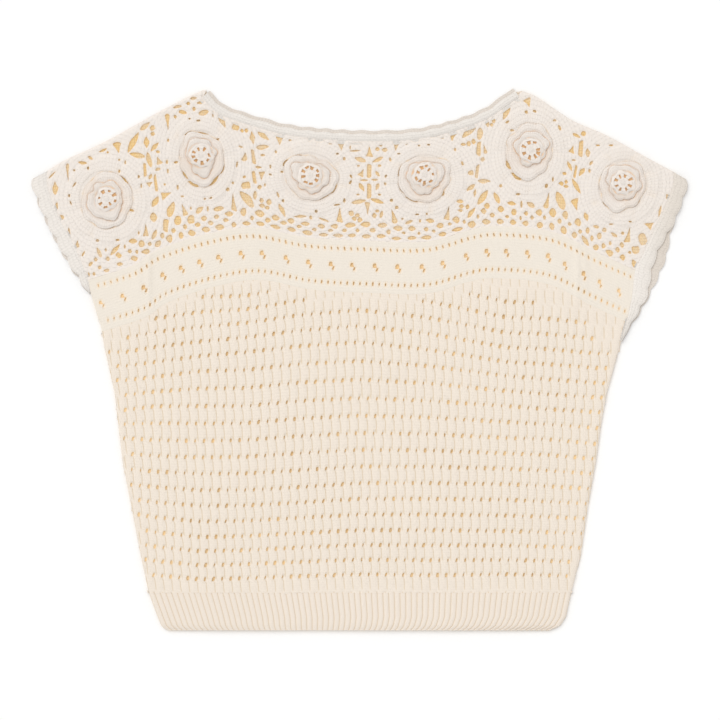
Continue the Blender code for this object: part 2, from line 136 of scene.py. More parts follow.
# %% Tables of the garment's lines, in millimetres across and up
BODY_SIDES = (                    # height, left side, right side
    (36, -247.1, 251.7), (13, -243.0, 246.0), (-30, -233.5, 234.0), (-60, -230.0, 228.5),
    (-94, -226.0, 223.8), (-139, -217.5, 215.8), (-185, -208.5, 209.0), (-220, -201.0, 200.0),
    (-243, -192.5, 195.0), (-252, -188.8, 189.0), (-255.5, -184.0, 181.0),
)
BASE_LINE = (                     # where net and knitting meet
    (-258.5, 77), (-252.5, 79), (-215, 91), (-192, 105.5), (-147, 120), (-102, 126.4),
    (-51, 117.2), (6, 114), (63, 113.3), (106, 125), (132, 127.8), (182, 122.5), (225, 102.5),
    (260.5, 86.5),
)
LEFT_ARM_INNER = (
    (-247.8, 36), (-252.3, 52), (-256.5, 66), (-258.5, 77), (-265, 95), (-273.5, 113), (-284, 132),
    (-292, 150), (-297.5, 168), (-297.5, 180),
)
RIGHT_ARM_FOOT = ((247.5, 19), (249.7, 28))   # the right edging goes on down the body's side
RIGHT_ARM_INNER = (
    (252.2, 36), (257.5, 60), (260.7, 86.5), (268.4, 102), (273.5, 113), (279, 125), (286, 139),
    (292, 153), (297, 168), (297.5, 179),
)
LEFT_ARM_OUTER = (
    (-257, 64), (-262, 70), (-273, 87), (-284.5, 106.5), (-295, 127), (-304, 147),
    (-311.6, 168), (-310.5, 172.8),
)
RIGHT_ARM_OUTER_FRONT = (
    (248.5, 19), (254, 30), (264.5, 48), (272.5, 63), (275.5, 81), (280, 98), (287.5, 114),
    (297.5, 131), (304.5, 149), (310.3, 166), (309, 172.6),
)
RIGHT_ARM_OUTER_BACK = (
    (249, 19), (255, 30), (266.5, 48), (275.5, 65), (284, 83), (290.5, 100), (293.5, 116),
    (298, 132), (305, 149.5), (310.6, 166), (309.2, 172.4),
)
LEFT_SHOULDER = (
    (-297.5, 180.4), (-279.8, 191), (-242, 208.5), (-183.8, 240.5), (-152, 256), (-146.5, 256.9),
)
RIGHT_SHOULDER = (
    (297.5, 179.4), (270.2, 194), (234, 214), (201, 228.6), (168.4, 250), (154, 256.5),
)
NECK_LINE = (
    (-143, 256.8), (-131, 244.6), (-113, 237), (-95, 231.6), (-70, 225), (-40, 221.2), (0, 219),
    (40, 219.6), (68, 223.6), (98, 232), (118, 240.4), (133, 251), (145, 259),
)
LEFT_ARM_FROM = 2                 # the left edging starts at this point of its inner line
NECK_BACK_SHOW = 3.4              # how far the back's edging shows above the front's
NECK_BAND = 7.0                   # width of the front's edging
HEM_LINE = -220.0                 # where the ribbed hem begins
HEM_END = -255.5


# %% Curves through the tables
def along(line, shares):
    """The points that lie at the given shares of a broken line's length."""
    spans = [(b - a).length for a, b in zip(line, line[1:])]
    total = sum(spans)
    found = []
    for share in shares:
        rest = min(max(share, 0.0), 1.0) * total
        index = 0
        while index < len(spans) - 1 and rest > spans[index]:
            rest -= spans[index]
            index += 1
        found.append(line[index].lerp(line[index + 1], rest / spans[index]))
    return found


def curve_through(table, steps):
    """A smooth curve through the table's points, cut into even steps."""
    knots = [Vector(row) for row in table]
    knots = [2 * knots[0] - knots[1]] + knots + [2 * knots[-1] - knots[-2]]
    fine = []
    for a, b, c, d in zip(knots, knots[1:], knots[2:], knots[3:]):
        for step in range(16):
            t = step / 16
            bend = 2 * a - 5 * b + 4 * c - d
            twist = 3 * b - a - 3 * c + d
            fine.append(0.5 * (2 * b + (c - a) * t + bend * t * t + twist * t ** 3))
    fine.append(knots[-2])
    return along(fine, [step / steps for step in range(steps + 1)])


def moved_aside(line, distances):
    """The line with each point moved to its left by its own distance."""
    result = []
    for index, point in enumerate(line):
        run = (line[min(index + 1, len(line) - 1)] - line[max(index - 1, 0)]).normalized()
        result.append(point + Vector((-run.y, run.x)) * distances[index])
    return result


def shifted(line, distance):
    """The line moved to its left all along."""
    return moved_aside(line, [distance] * len(line))


def height_on(line, x):
    """How high a line that runs from left to right lies at a place across."""
    for a, b in zip(line, line[1:]):
        if a.x <= x <= b.x:
            return a.y + (b.y - a.y) * (x - a.x) / (b.x - a.x)
    return line[0].y if x < line[0].x else line[-1].y


def ease(low, high, value):
    """0 below low, 1 above high, and a soft step between."""
    t = min(max((value - low) / (high - low), 0.0), 1.0)
    return t * t * (3 - 2 * t)


BASE = curve_through(BASE_LINE, 400)
print("net meets knitting along", round(sum((b - a).length for a, b in zip(BASE, BASE[1:]))), "mm")


# %% [markdown]
# ## How the front lies
#
# The front is the upper half of a flattened tube. It lies on the back a few millimetres above the
# table, hardly domed, and at the body's sides and at the shoulders it rolls down over the back's
# edge. All front pieces ask one function for their height, so that they meet without a step.

# %% Height of the front cloth
FRONT_TOP = 3.7                   # mm from the table to the knitting's face
YOKE_TOP = 4.2                    # and to the crochet's
ROLL = 3.5                        # width over which a folded edge rolls down
ROLL_DROP = 1.5
CREASES = (                       # across, lowest, highest, rise, spread, in mm
    (-201.0, 48.0, 118.0, 1.5, 3.0), (-211.0, 60.0, 100.0, 0.8, 4.0),
    (206.0, 48.0, 122.0, 1.5, 3.0), (213.0, 56.0, 114.0, 1.0, 3.0),
)


def side_at(height, column):
    """A side's place at a height: the armhole's inner edge, and the body's side below it."""
    if height >= BODY_SIDES[0][0]:
        arm = LEFT_ARM_INNER if column == 1 else RIGHT_ARM_INNER
        for a, b in zip(arm, arm[1:]):
            if height <= b[1]:
                return a[0] + (b[0] - a[0]) * (height - a[1]) / (b[1] - a[1])
        return arm[-1][0]
    for upper, lower in zip(BODY_SIDES, BODY_SIDES[1:]):
        if height >= lower[0]:
            share = (upper[0] - height) / (upper[0] - lower[0])
            return upper[column] + (lower[column] - upper[column]) * min(max(share, 0), 1)
    return BODY_SIDES[-1][column]


def rolled(distance):
    """How far cloth sinks within ROLL of a folded edge."""
    if distance >= ROLL:
        return 0.0
    t = 1.0 - max(distance, 0.0) / ROLL
    return ROLL_DROP * (1.0 - sqrt(max(1.0 - t * t, 0.0)))


def swell(x, y):
    """The soft rise and fall of cloth that isn't pulled tight."""
    rise = 0.7 * noise.noise(Vector((x / 70, y / 55, 0.3)))
    rise += 0.25 * noise.noise(Vector((x / 24, y / 30, 4.1)))
    for across, low, high, lift, spread in CREASES:
        if low <= y <= high:
            rise += lift * sin(pi * (y - low) / (high - low)) * exp(-((x - across) / spread) ** 2)
    return rise


def lie(x, y):
    """Height of the front's knitted face before its stitches."""
    side = min(x - side_at(y, 1), side_at(y, 2) - x)
    dome = 0.9 * ease(0, 60, side)
    folded = rolled(side) if y < 40 else 0.0
    return FRONT_TOP + dome + swell(x, y) * ease(0, 20, side) - folded


print("the middle of the front lies", round(lie(0, 0), 2), "mm up")


# %% [markdown]
# ## Making cloth from a grid
#
# Every piece of cloth starts as Blender's grid primitive, with one row of faces for each course or
# round. A function says where each of its corners goes, faces are deleted where the cloth has
# holes, and a Solidify modifier gives it its wall. Two numbers stay with every corner: a place
# along the stitches, kept as the UV map, and how much shade is painted on it where it lies in a
# hollow, kept as an attribute that the materials tint with.

# %% Start a grid
def bare_selection():
    """Deselect everything, since an operator acts on all that is selected."""
    bpy.ops.object.select_all(action="DESELECT")


def only(piece):
    """Make one piece the selected and active one."""
    bare_selection()
    piece.select_set(True)
    bpy.context.view_layer.objects.active = piece


def new_grid(name, columns, rows):
    """A grid of columns by rows of faces. Corner j * (columns + 1) + i is the ith of row j."""
    bare_selection()
    bpy.ops.mesh.primitive_grid_add(x_subdivisions=columns, y_subdivisions=rows, size=1)
    piece = bpy.context.object
    piece.name = piece.data.name = name
    return piece


# %% Give a grid its shape
def keep_hollows(mesh, hollows):
    """Store how much shade is painted on each corner in a hollow, from 0 to 1."""
    layer = mesh.attributes.new("hollow", "FLOAT", "POINT")
    layer.data.foreach_set("value", hollows)


def keep_stitches(mesh, places):
    """Store each corner's place along and across the stitches as the UV map."""
    layer = mesh.uv_layers.active or mesh.uv_layers.new(name="UVMap")
    flat = []
    for loop in mesh.loops:
        flat.extend(places[loop.vertex_index])
    layer.data.foreach_set("uv", flat)


def shape_grid(piece, corners, places, hollows):
    """Move the grid's corners to their places, and store their stitches and the painted shade of their
    hollows.
    """
    piece.data.vertices.foreach_set("co", [value for corner in corners for value in world(*corner)])
    keep_stitches(piece.data, places)
    keep_hollows(piece.data, hollows)
    piece.data.update()


print("the middle of the front's face goes to", world(0, 0, FRONT_TOP))


# %% Cut, merge and thicken cloth
def delete_faces(piece, chosen):
    """Delete the faces with these numbers."""
    only(piece)
    piece.data.polygons.foreach_set("select", [n in chosen for n in range(len(piece.data.polygons))])
    piece.data.edges.foreach_set("select", [False] * len(piece.data.edges))
    piece.data.vertices.foreach_set("select", [False] * len(piece.data.vertices))
    bpy.ops.object.mode_set(mode="EDIT")
    bpy.ops.mesh.select_mode(type="FACE")
    bpy.ops.mesh.delete(type="FACE")
    bpy.ops.object.mode_set(mode="OBJECT")


def merge_corners(piece, distance=0.00002):
    """Merge corners that lie in one place."""
    only(piece)
    bpy.ops.object.mode_set(mode="EDIT")
    bpy.ops.mesh.select_mode(type="VERT")
    bpy.ops.mesh.select_all(action="SELECT")
    bpy.ops.mesh.remove_doubles(threshold=distance)
    bpy.ops.mesh.delete_loose()
    bpy.ops.object.mode_set(mode="OBJECT")


SHARP = 52.0                      # degrees past which an edge of cloth stays crisp


def thicken(piece, wall):
    """Give a sheet its wall, below its face, and shade it smooth."""
    only(piece)
    solidify = piece.modifiers.new("wall", "SOLIDIFY")
    solidify.thickness = wall * MM
    solidify.offset = -1.0
    bpy.ops.object.modifier_apply(modifier=solidify.name)
    bpy.ops.object.shade_smooth_by_angle(angle=radians(SHARP))


def triangles(piece):
    """How many triangles a piece has."""
    return sum(len(face.vertices) - 2 for face in piece.data.polygons)


print("the table has", triangles(table), "triangles")


# %% [markdown]
# ## Cotton
#
# The yarn is undyed cotton: a warm off-white with no shine beyond the faint bloom of its fibres.
# Light that has passed from strand to strand turns ochre, so hollows and the cloth behind the
# holes are warmer and deeper; that shade is painted into the colour, and a little of it is painted
# in as a glow. Five node groups serve all the materials: one mixes the colour with its painted
# shade, one raises the loose fibres, one draws the furrows of the lace as painted shade, and two
# draw stitches, the arrowheads of knitting and the posts of crochet. The shader with its constant
# roughness and sheen stays in each material.

# %% Wire a node group
def new_group(name, inputs, outputs):
    """An empty shader node group with named sockets."""
    group = bpy.data.node_groups.new(name, "ShaderNodeTree")
    for label, kind, value in inputs:
        socket = group.interface.new_socket(label, in_out="INPUT", socket_type=kind)
        if value is not None:
            socket.default_value = value
    for label, kind in outputs:
        group.interface.new_socket(label, in_out="OUTPUT", socket_type=kind)
    return group, group.nodes.new("NodeGroupInput"), group.nodes.new("NodeGroupOutput")


def maths(tree, operation, first, second=None, third=None):
    """A Math node fed by sockets or numbers."""
    node = tree.nodes.new("ShaderNodeMath")
    node.operation = operation
    for socket, value in zip(node.inputs, (first, second, third)):
        if value is None:
            continue
        if isinstance(value, (int, float)):
            socket.default_value = value
        else:
            tree.links.new(value, socket)
    return node.outputs[0]


def grain(tree, scale, detail, stretch=(1.0, 1.0, 1.0)):
    """Noise on the object's own coordinates."""
    place = tree.nodes.new("ShaderNodeTexCoord")
    mapping = tree.nodes.new("ShaderNodeMapping")
    mapping.inputs["Scale"].default_value = stretch
    texture = tree.nodes.new("ShaderNodeTexNoise")
    texture.inputs["Scale"].default_value = scale
    texture.inputs["Detail"].default_value = detail
    tree.links.new(place.outputs["Object"], mapping.inputs["Vector"])
    tree.links.new(mapping.outputs["Vector"], texture.inputs["Vector"])
    return texture.outputs["Fac"]


COLOUR, FLOAT, VECTOR = "NodeSocketColor", "NodeSocketFloat", "NodeSocketVector"
print("kinds of socket:", COLOUR, FLOAT, VECTOR)


# %% Mix the yarn's colour
def build_yarn_colour():
    """Cream that turns to painted shade and glow in hollows and varies a little from strand to strand."""
    group, given, result = new_group(
        "yarn_colour",
        [("Cotton", COLOUR, (0.87, 0.79, 0.69, 1)), ("Shade", COLOUR, (0.72, 0.50, 0.28, 1)),
         ("Hollow", FLOAT, 0.0), ("Variation", FLOAT, 0.5)],
        [("Color", COLOUR), ("Glow", COLOUR)])
    patches, flecks = grain(group, 38.0, 2.0), grain(group, 620.0, 3.0)
    both = maths(group, "ADD", maths(group, "MULTIPLY", patches, 0.6),
                 maths(group, "MULTIPLY", flecks, 0.4))
    swing = maths(group, "MULTIPLY", maths(group, "SUBTRACT", both, 0.5),
                  given.outputs["Variation"])
    hollow = maths(group, "ADD", given.outputs["Hollow"], swing)
    hollow = maths(group, "MINIMUM", maths(group, "MAXIMUM", hollow, 0.0), 1.0)
    mix = group.nodes.new("ShaderNodeMix")
    mix.data_type = "RGBA"
    group.links.new(hollow, mix.inputs["Factor"])
    group.links.new(given.outputs["Cotton"], mix.inputs["A"])
    group.links.new(given.outputs["Shade"], mix.inputs["B"])
    group.links.new(mix.outputs["Result"], result.inputs["Color"])
    # The glow is painted light: the shade's colour, as strong as the hollow, for the emission.
    glow = group.nodes.new("ShaderNodeMix")
    glow.data_type = "RGBA"
    glow.inputs["A"].default_value = (0, 0, 0, 1)
    group.links.new(hollow, glow.inputs["Factor"])
    group.links.new(given.outputs["Shade"], glow.inputs["B"])
    group.links.new(glow.outputs["Result"], result.inputs["Glow"])
    return group


YARN_COLOUR = build_yarn_colour()
print(YARN_COLOUR.name, "has", len(YARN_COLOUR.nodes), "nodes")


# %% Raise the loose fibres
def build_loose_fibres():
    """The fuzz of a soft yarn, as a small height."""
    group, given, result = new_group(
        "loose_fibres", [("Stitches", FLOAT, 0.0), ("Fuzz", FLOAT, 0.25)], [("Height", FLOAT)])
    fuzz = grain(group, 1500.0, 4.0, (1.0, 0.6, 1.0))
    lumps = grain(group, 300.0, 2.0)
    rough = maths(group, "ADD", maths(group, "MULTIPLY", fuzz, given.outputs["Fuzz"]),
                  maths(group, "MULTIPLY", lumps, 0.35))
    total = maths(group, "ADD", given.outputs["Stitches"], rough)
    group.links.new(total, result.inputs["Height"])
    return group


LOOSE_FIBRES = build_loose_fibres()
print(LOOSE_FIBRES.name, "has", len(LOOSE_FIBRES.nodes), "nodes")


# %% Draw the arrowheads of knitting
def build_knit_stitches():
    """Rows of small arrowheads: each wale is two legs that lean towards each other."""
    group, given, result = new_group(
        "knit_stitches", [("Place", VECTOR, None), ("Wales", FLOAT, 4.0), ("Courses", FLOAT, 6.0)],
        [("Height", FLOAT), ("Furrow", FLOAT)])
    split = group.nodes.new("ShaderNodeSeparateXYZ")
    group.links.new(given.outputs["Place"], split.inputs[0])
    wale = maths(group, "MULTIPLY", split.outputs["X"], given.outputs["Wales"])
    course = maths(group, "MULTIPLY", split.outputs["Y"], given.outputs["Courses"])
    across = maths(group, "ABSOLUTE", maths(group, "SUBTRACT", maths(group, "FRACT", wale), 0.5))
    leg = maths(group, "SINE", maths(group, "MULTIPLY", across, 2 * pi))
    leaning = maths(group, "FRACT", maths(group, "ADD", course, across))
    loop = maths(group, "SINE", maths(group, "MULTIPLY", leaning, pi))
    height = maths(group, "MULTIPLY", leg, maths(group, "ADD", maths(group, "MULTIPLY", loop, 0.6),
                                                 0.4))
    furrow = maths(group, "SUBTRACT", 1.0, height)
    group.links.new(height, result.inputs["Height"])
    group.links.new(furrow, result.inputs["Furrow"])
    return group


KNIT_STITCHES = build_knit_stitches()
print(KNIT_STITCHES.name, "has", len(KNIT_STITCHES.nodes), "nodes")


# %% Draw the furrows of the lace
def build_lace_furrows():
    """A thin line of painted shade down each repeat of the lace, where the yarn of two stitches parts."""
    group, given, result = new_group(
        "lace_furrows",
        [("Place", VECTOR, None), ("Across", FLOAT, 0.60), ("Lean", FLOAT, 0.28),
         ("Width", FLOAT, 0.10)],
        [("Mask", FLOAT)])
    split = group.nodes.new("ShaderNodeSeparateXYZ")
    group.links.new(given.outputs["Place"], split.inputs[0])
    climb = maths(group, "FRACT", maths(group, "ADD", split.outputs["Y"], 0.6))
    lean = maths(group, "MULTIPLY", maths(group, "SUBTRACT", 1.0, climb), given.outputs["Lean"])
    wander = maths(group, "MULTIPLY", maths(group, "SUBTRACT", grain(group, 90.0, 1.0), 0.5), 0.15)
    middle = maths(group, "ADD", maths(group, "ADD", given.outputs["Across"], lean), wander)
    away = maths(group, "ABSOLUTE", maths(group, "SUBTRACT", maths(
        group, "FRACT", split.outputs["X"]), middle))
    line = maths(group, "SUBTRACT", 1.0, maths(group, "DIVIDE", away, given.outputs["Width"]))
    fade = maths(group, "MULTIPLY", maths(group, "SINE", maths(group, "MULTIPLY", climb, pi)), 1.8)
    mask = maths(group, "MULTIPLY", maths(group, "MAXIMUM", line, 0.0),
                 maths(group, "MINIMUM", fade, 1.0))
    group.links.new(mask, result.inputs["Mask"])
    return group


LACE_FURROWS = build_lace_furrows()
print(LACE_FURROWS.name, "has", len(LACE_FURROWS.nodes), "nodes")


# %% Draw the posts of crochet
def build_crochet_posts():
    """Posts of treble crochet side by side, cut into rounds, and twisted like plied yarn."""
    group, given, result = new_group(
        "crochet_posts", [("Place", VECTOR, None), ("Posts", FLOAT, 1.0), ("Rounds", FLOAT, 1.0)],
        [("Height", FLOAT), ("Furrow", FLOAT)])
    split = group.nodes.new("ShaderNodeSeparateXYZ")
    group.links.new(given.outputs["Place"], split.inputs[0])
    wobble = maths(group, "MULTIPLY", grain(group, 260.0, 2.0), 0.7)
    post = maths(group, "ADD", maths(group, "MULTIPLY", split.outputs["X"], given.outputs["Posts"]),
                 wobble)
    rung = maths(group, "ADD", maths(group, "MULTIPLY", split.outputs["Y"],
                                     given.outputs["Rounds"]), wobble)
    ridge = maths(group, "ABSOLUTE", maths(group, "SINE", maths(group, "MULTIPLY", post, pi)))
    twist = maths(group, "ADD", rung, maths(group, "MULTIPLY", post, 0.5))
    strand = maths(group, "ABSOLUTE", maths(group, "SINE", maths(group, "MULTIPLY", twist, 3 * pi)))
    seam = maths(group, "ABSOLUTE", maths(group, "SINE", maths(group, "MULTIPLY", rung, pi)))
    seam = maths(group, "MINIMUM", maths(group, "MULTIPLY", seam, 3.0), 1.0)
    height = maths(group, "MULTIPLY", seam, maths(
        group, "ADD", maths(group, "MULTIPLY", ridge, 0.7), maths(group, "MULTIPLY", strand, 0.3)))
    group.links.new(height, result.inputs["Height"])
    group.links.new(maths(group, "SUBTRACT", 1.0, height), result.inputs["Furrow"])
    return group


CROCHET_POSTS = build_crochet_posts()
print("node groups:", [group.name for group in bpy.data.node_groups])

# %% [markdown]
# ## Each part's cotton
#
# All the cottons share one recipe: a rough shader with a little sheen, a pattern of stitches that
# raises its bump, and a cream that turns to the part's own colour of painted shade where the piece
# says that it is hollow. Only the pointelle gets the painted furrows of the lace as well. A little
# of the painted shade also glows, as painted light for thin yarn in a hollow that lets light through.

# %% Choose the colours of the cotton
CREAM_KNIT = (0.915, 0.82, 0.715)
CREAM_BAND = (0.885, 0.815, 0.72)
CREAM_RIB = (0.88, 0.79, 0.695)
CREAM_CROCHET = (0.865, 0.80, 0.742)
CREAM_EDGING = (0.862, 0.812, 0.758)
GREY_CREAM = (0.78, 0.715, 0.65)  # the back's edgings, in the shade of the front's
OCHRE = (0.87, 0.62, 0.34)        # painted shade of yarn in a hollow that light comes through
AMBER = (0.86, 0.62, 0.32)        # painted shade of the back's knitting, seen through a small eyelet
DEEP_OCHRE = (0.82, 0.57, 0.25)   # painted shade of the back's crochet, seen through the yoke's gaps
RUSSET = (0.80, 0.50, 0.25)       # painted shade between a rose's petals
OLIVE = (0.62, 0.48, 0.30)        # painted shade of a furrow that no light comes through
SHADED = (0.60, 0.53, 0.45)       # an edging where it turns away from the light
PAINTED_GLOW = 0.12              # share of light that comes through the yarn in hollows, painted in as a glow
print("the band's cream:", CREAM_BAND, "and its hollows:", OCHRE)


# %% Make a cotton
def cotton(name, cream, stitches, counts, depth, tint=0.0, variation=0.08, shade=OCHRE,
           glow=PAINTED_GLOW):
    """A matt cotton. counts are the stitches in a UV unit across and up, depth is in mm."""
    made = bpy.data.materials.new(name)
    made.use_nodes = True
    tree = made.node_tree
    shader = tree.nodes["Principled BSDF"]
    shader.inputs["Roughness"].default_value = 0.92
    shader.inputs["Specular IOR Level"].default_value = 0.18
    shader.inputs["Sheen Weight"].default_value = 0.12
    shader.inputs["Sheen Roughness"].default_value = 0.6
    uv = tree.nodes.new("ShaderNodeUVMap")
    uv.uv_map = "UVMap"
    pattern = tree.nodes.new("ShaderNodeGroup")
    pattern.node_tree = stitches
    tree.links.new(uv.outputs["UV"], pattern.inputs["Place"])
    pattern.inputs[1].default_value, pattern.inputs[2].default_value = counts
    hollow = tree.nodes.new("ShaderNodeAttribute")
    hollow.attribute_name = "hollow"
    colour = tree.nodes.new("ShaderNodeGroup")
    colour.node_tree = YARN_COLOUR
    colour.inputs["Cotton"].default_value = (*cream, 1)
    colour.inputs["Shade"].default_value = (*shade, 1)
    colour.inputs["Variation"].default_value = variation
    # Painted shade: hollows, and the stitches' furrows by tint, turn the cream to the shade colour.
    deep = maths(tree, "ADD", hollow.outputs["Fac"],
                 maths(tree, "MULTIPLY", pattern.outputs["Furrow"], tint))
    tree.links.new(deep, colour.inputs["Hollow"])
    tree.links.new(colour.outputs["Color"], shader.inputs["Base Color"])
    # Painted light: the shade in hollows glows with the emission strength glow.
    tree.links.new(colour.outputs["Glow"], shader.inputs["Emission Color"])
    shader.inputs["Emission Strength"].default_value = glow
    fibres = tree.nodes.new("ShaderNodeGroup")
    fibres.node_tree = LOOSE_FIBRES
    tree.links.new(pattern.outputs["Height"], fibres.inputs["Stitches"])
    bump = tree.nodes.new("ShaderNodeBump")
    bump.inputs["Strength"].default_value = 1.0
    bump.inputs["Distance"].default_value = depth * MM
    tree.links.new(fibres.outputs["Height"], bump.inputs["Height"])
    tree.links.new(bump.outputs["Normal"], shader.inputs["Normal"])
    return made


def add_furrows(made, strength):
    """Paint shade into a knitted lace along its furrows."""
    tree = made.node_tree
    lines = tree.nodes.new("ShaderNodeGroup")
    lines.node_tree = LACE_FURROWS
    uv = next(node for node in tree.nodes if node.bl_idname == "ShaderNodeUVMap")
    tree.links.new(uv.outputs["UV"], lines.inputs["Place"])
    colour = next(node for node in tree.nodes if getattr(node, "node_tree", None) == YARN_COLOUR)
    before = colour.inputs["Hollow"].links[0].from_socket
    drawn = maths(tree, "MULTIPLY", lines.outputs["Mask"], strength)
    tree.links.new(maths(tree, "ADD", before, drawn), colour.inputs["Hollow"])


print("stitches to choose from:", KNIT_STITCHES.name, CROCHET_POSTS.name)

# %% Give each part of the garment its cotton
# Each shade below is painted shade in the part's hollows, and each glow is painted light there.
KNIT = cotton("knit_cotton_stitches", CREAM_KNIT, KNIT_STITCHES, (4, 6), 0.25, tint=0.03,
              shade=OLIVE)
add_furrows(KNIT, 0.62)
BAND_KNIT = cotton("band_cotton_stitches", CREAM_BAND, KNIT_STITCHES, (1, 1), 0.22, tint=0.03)
RIB_KNIT = cotton("rib_cotton_stitches", CREAM_RIB, KNIT_STITCHES, (1, 1), 0.22, tint=0.04,
                  shade=OLIVE)
CROCHET = cotton("crochet_cotton_stitches", CREAM_CROCHET, CROCHET_POSTS, (1, 1), 0.35, tint=0.05)
ROSE = cotton("rose_cotton_stitches", CREAM_CROCHET, CROCHET_POSTS, (1, 1), 0.35, tint=0.05,
              shade=RUSSET, glow=0.22)
EDGING = cotton("edging_cotton_stitches", CREAM_EDGING, CROCHET_POSTS, (1, 1), 0.35, tint=0.04,
                shade=SHADED)
BACK = cotton("back_cotton_stitches", CREAM_KNIT, KNIT_STITCHES, (1, 1), 0.25, variation=0.6,
              shade=AMBER, glow=0.205)
BACK_CROCHET = cotton("back_crochet_cotton", CREAM_CROCHET, CROCHET_POSTS, (1, 1), 0.5, tint=0.15,
                      variation=1.5, shade=DEEP_OCHRE, glow=0.16)
BACK_EDGING = cotton("back_edging_cotton", GREY_CREAM, CROCHET_POSTS, (1, 1), 0.35, tint=0.05,
                     shade=SHADED)
print("cottons:", [made.name for made in bpy.data.materials if "cotton" in made.name])

# %% Paint the table
white = bpy.data.materials.new("white_table")
white.use_nodes = True
white.node_tree.nodes["Principled BSDF"].inputs["Roughness"].default_value = 0.9
white.node_tree.nodes["Principled BSDF"].inputs["Specular IOR Level"].default_value = 0.1
speckle = white.node_tree.nodes.new("ShaderNodeGroup")
speckle.node_tree = YARN_COLOUR
speckle.inputs["Cotton"].default_value = (0.97, 0.97, 0.97, 1)
speckle.inputs["Shade"].default_value = (0.93, 0.93, 0.93, 1)
white.node_tree.links.new(speckle.outputs["Color"],
                          white.node_tree.nodes["Principled BSDF"].inputs["Base Color"])
table.data.materials.append(white)
print("the table's colour comes from", speckle.node_tree.name)


# %% Finish a piece of cloth
def finish_piece(piece, material, slot, *nodes):
    """Paint a piece, put it on its body and let it stand for its solids."""
    piece.data.materials.clear()
    piece.data.materials.append(material)
    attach(piece, "root")
    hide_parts(*nodes)
    lo = [min(v.co[axis] for v in piece.data.vertices) for axis in range(3)]
    hi = [max(v.co[axis] for v in piece.data.vertices) for axis in range(3)]
    area = sum(face.area for face in piece.data.polygons) / 2
    print(piece.name, triangles(piece), "triangles,", round(area, 4), "m2,",
          "z", round(lo[2] / MM, 2), "to", round(hi[2] / MM, 2), "mm")
    return piece


print("materials to choose from:", len(bpy.data.materials))


# %% [markdown]
# ## The smooth band of the body
#
# Below the net the knitting starts with a smooth band. Two rows of tiny eyelets run along it, and
# between them a row of larger ones set in pairs. The band is a grid whose top row follows the
# wavy base line. Blocks of two or four faces are taken out and their corners drawn into ovals.

# %% Open an eyelet
def open_eyelet(corners, columns, left, low, wide, tall, half_width, half_height, lean):
    """Draw the corners round a block of faces into a small leaning oval, and list its faces."""
    at = lambda i, j: j * (columns + 1) + i
    middle = [0.25 * sum(corners[at(i, j)][axis] for i in (left, left + wide)
                         for j in (low, low + tall)) for axis in (0, 1)]
    for i in range(left, left + wide + 1):
        for j in range(low, low + tall + 1):
            a, b = 2 * (i - left) / wide - 1, 2 * (j - low) / tall - 1
            if max(abs(a), abs(b)) < 0.99:
                continue
            reach = 0.35 + 0.65 / hypot(a, b)
            across, up = a * reach * half_width, b * reach * half_height
            corners[at(i, j)][0] = middle[0] + across + lean * up
            corners[at(i, j)][1] = middle[1] + up
    return [j * columns + i for i in range(left, left + wide) for j in range(low, low + tall)]


print("a block of two faces goes:", open_eyelet([[0, 0, 0] for _ in range(12)], 3, 1, 0, 1, 2, 1, 1, 0))

# %% Knit the band
BAND_ROWS = (0, 1.5, 3, 4.7, 6.5, 8.5, 10.5, 12.5, 14.5, 16.5, 18.5, 20.5, 22.5, 24.6, 26.5, 28.4,
             30.6, 32.5, 34.4, 36.5, 38.7, 41, 43, 45, 47, 49.5, 52)   # steps below the base line
BAND_COLUMNS = 344
PAIRS = (100, 122, 143, 162, 180, 199, 219, 240, 262, 285, 308, 330, 352, 375, 398, 421, 442, 465,
         486, 505, 526, 547, 565, 583, 600, 619)   # the pairs' places across, in steps
UPPER_ROW, LOWER_ROW = 10.5, 45   # where the two rows of tiny eyelets start
EYELET_EVERY = 4                  # columns from one tiny eyelet to the next
PAIR_LANE = 24.6                  # where a pair's place across is measured
PAIR_ROW, LOW_PAIR_ROW = 26.5, 28.4   # where a pair starts, and near the right side
LOW_PAIRS_FROM = 555
PAIR_DROP = 4.1                   # from a pair's broad eyelet to its narrow one
Eyelet = namedtuple("Eyelet", "half_width half_height lean")   # in steps
UPPER_EYELET, LOWER_EYELET = Eyelet(0.72, 1.95, -0.22), Eyelet(0.78, 1.9, 0.1)
BROAD_EYELET, NARROW_EYELET = Eyelet(1.7, 2.2, 0.15), Eyelet(0.9, 2.1, 0.3)
RIM_SINK = 0.35                   # mm that an eyelet's rim lies lower, and how much shade is painted on it
KNIT_WALL = 1.2                   # mm
BAND_WALES, BAND_COURSE = 230, 2.7   # stitches across, and the steps that one is tall


def band_row(tops, down):
    """The corners of the band's row that lies so far below the base line."""
    left = side_at(tops[0].y - down * STEP, 1)
    right = side_at(tops[-1].y - down * STEP, 2)
    wide = tops[-1].x - tops[0].x
    return [Vector((left + (right - left) * (top.x - tops[0].x) / wide, top.y - down * STEP))
            for top in tops]


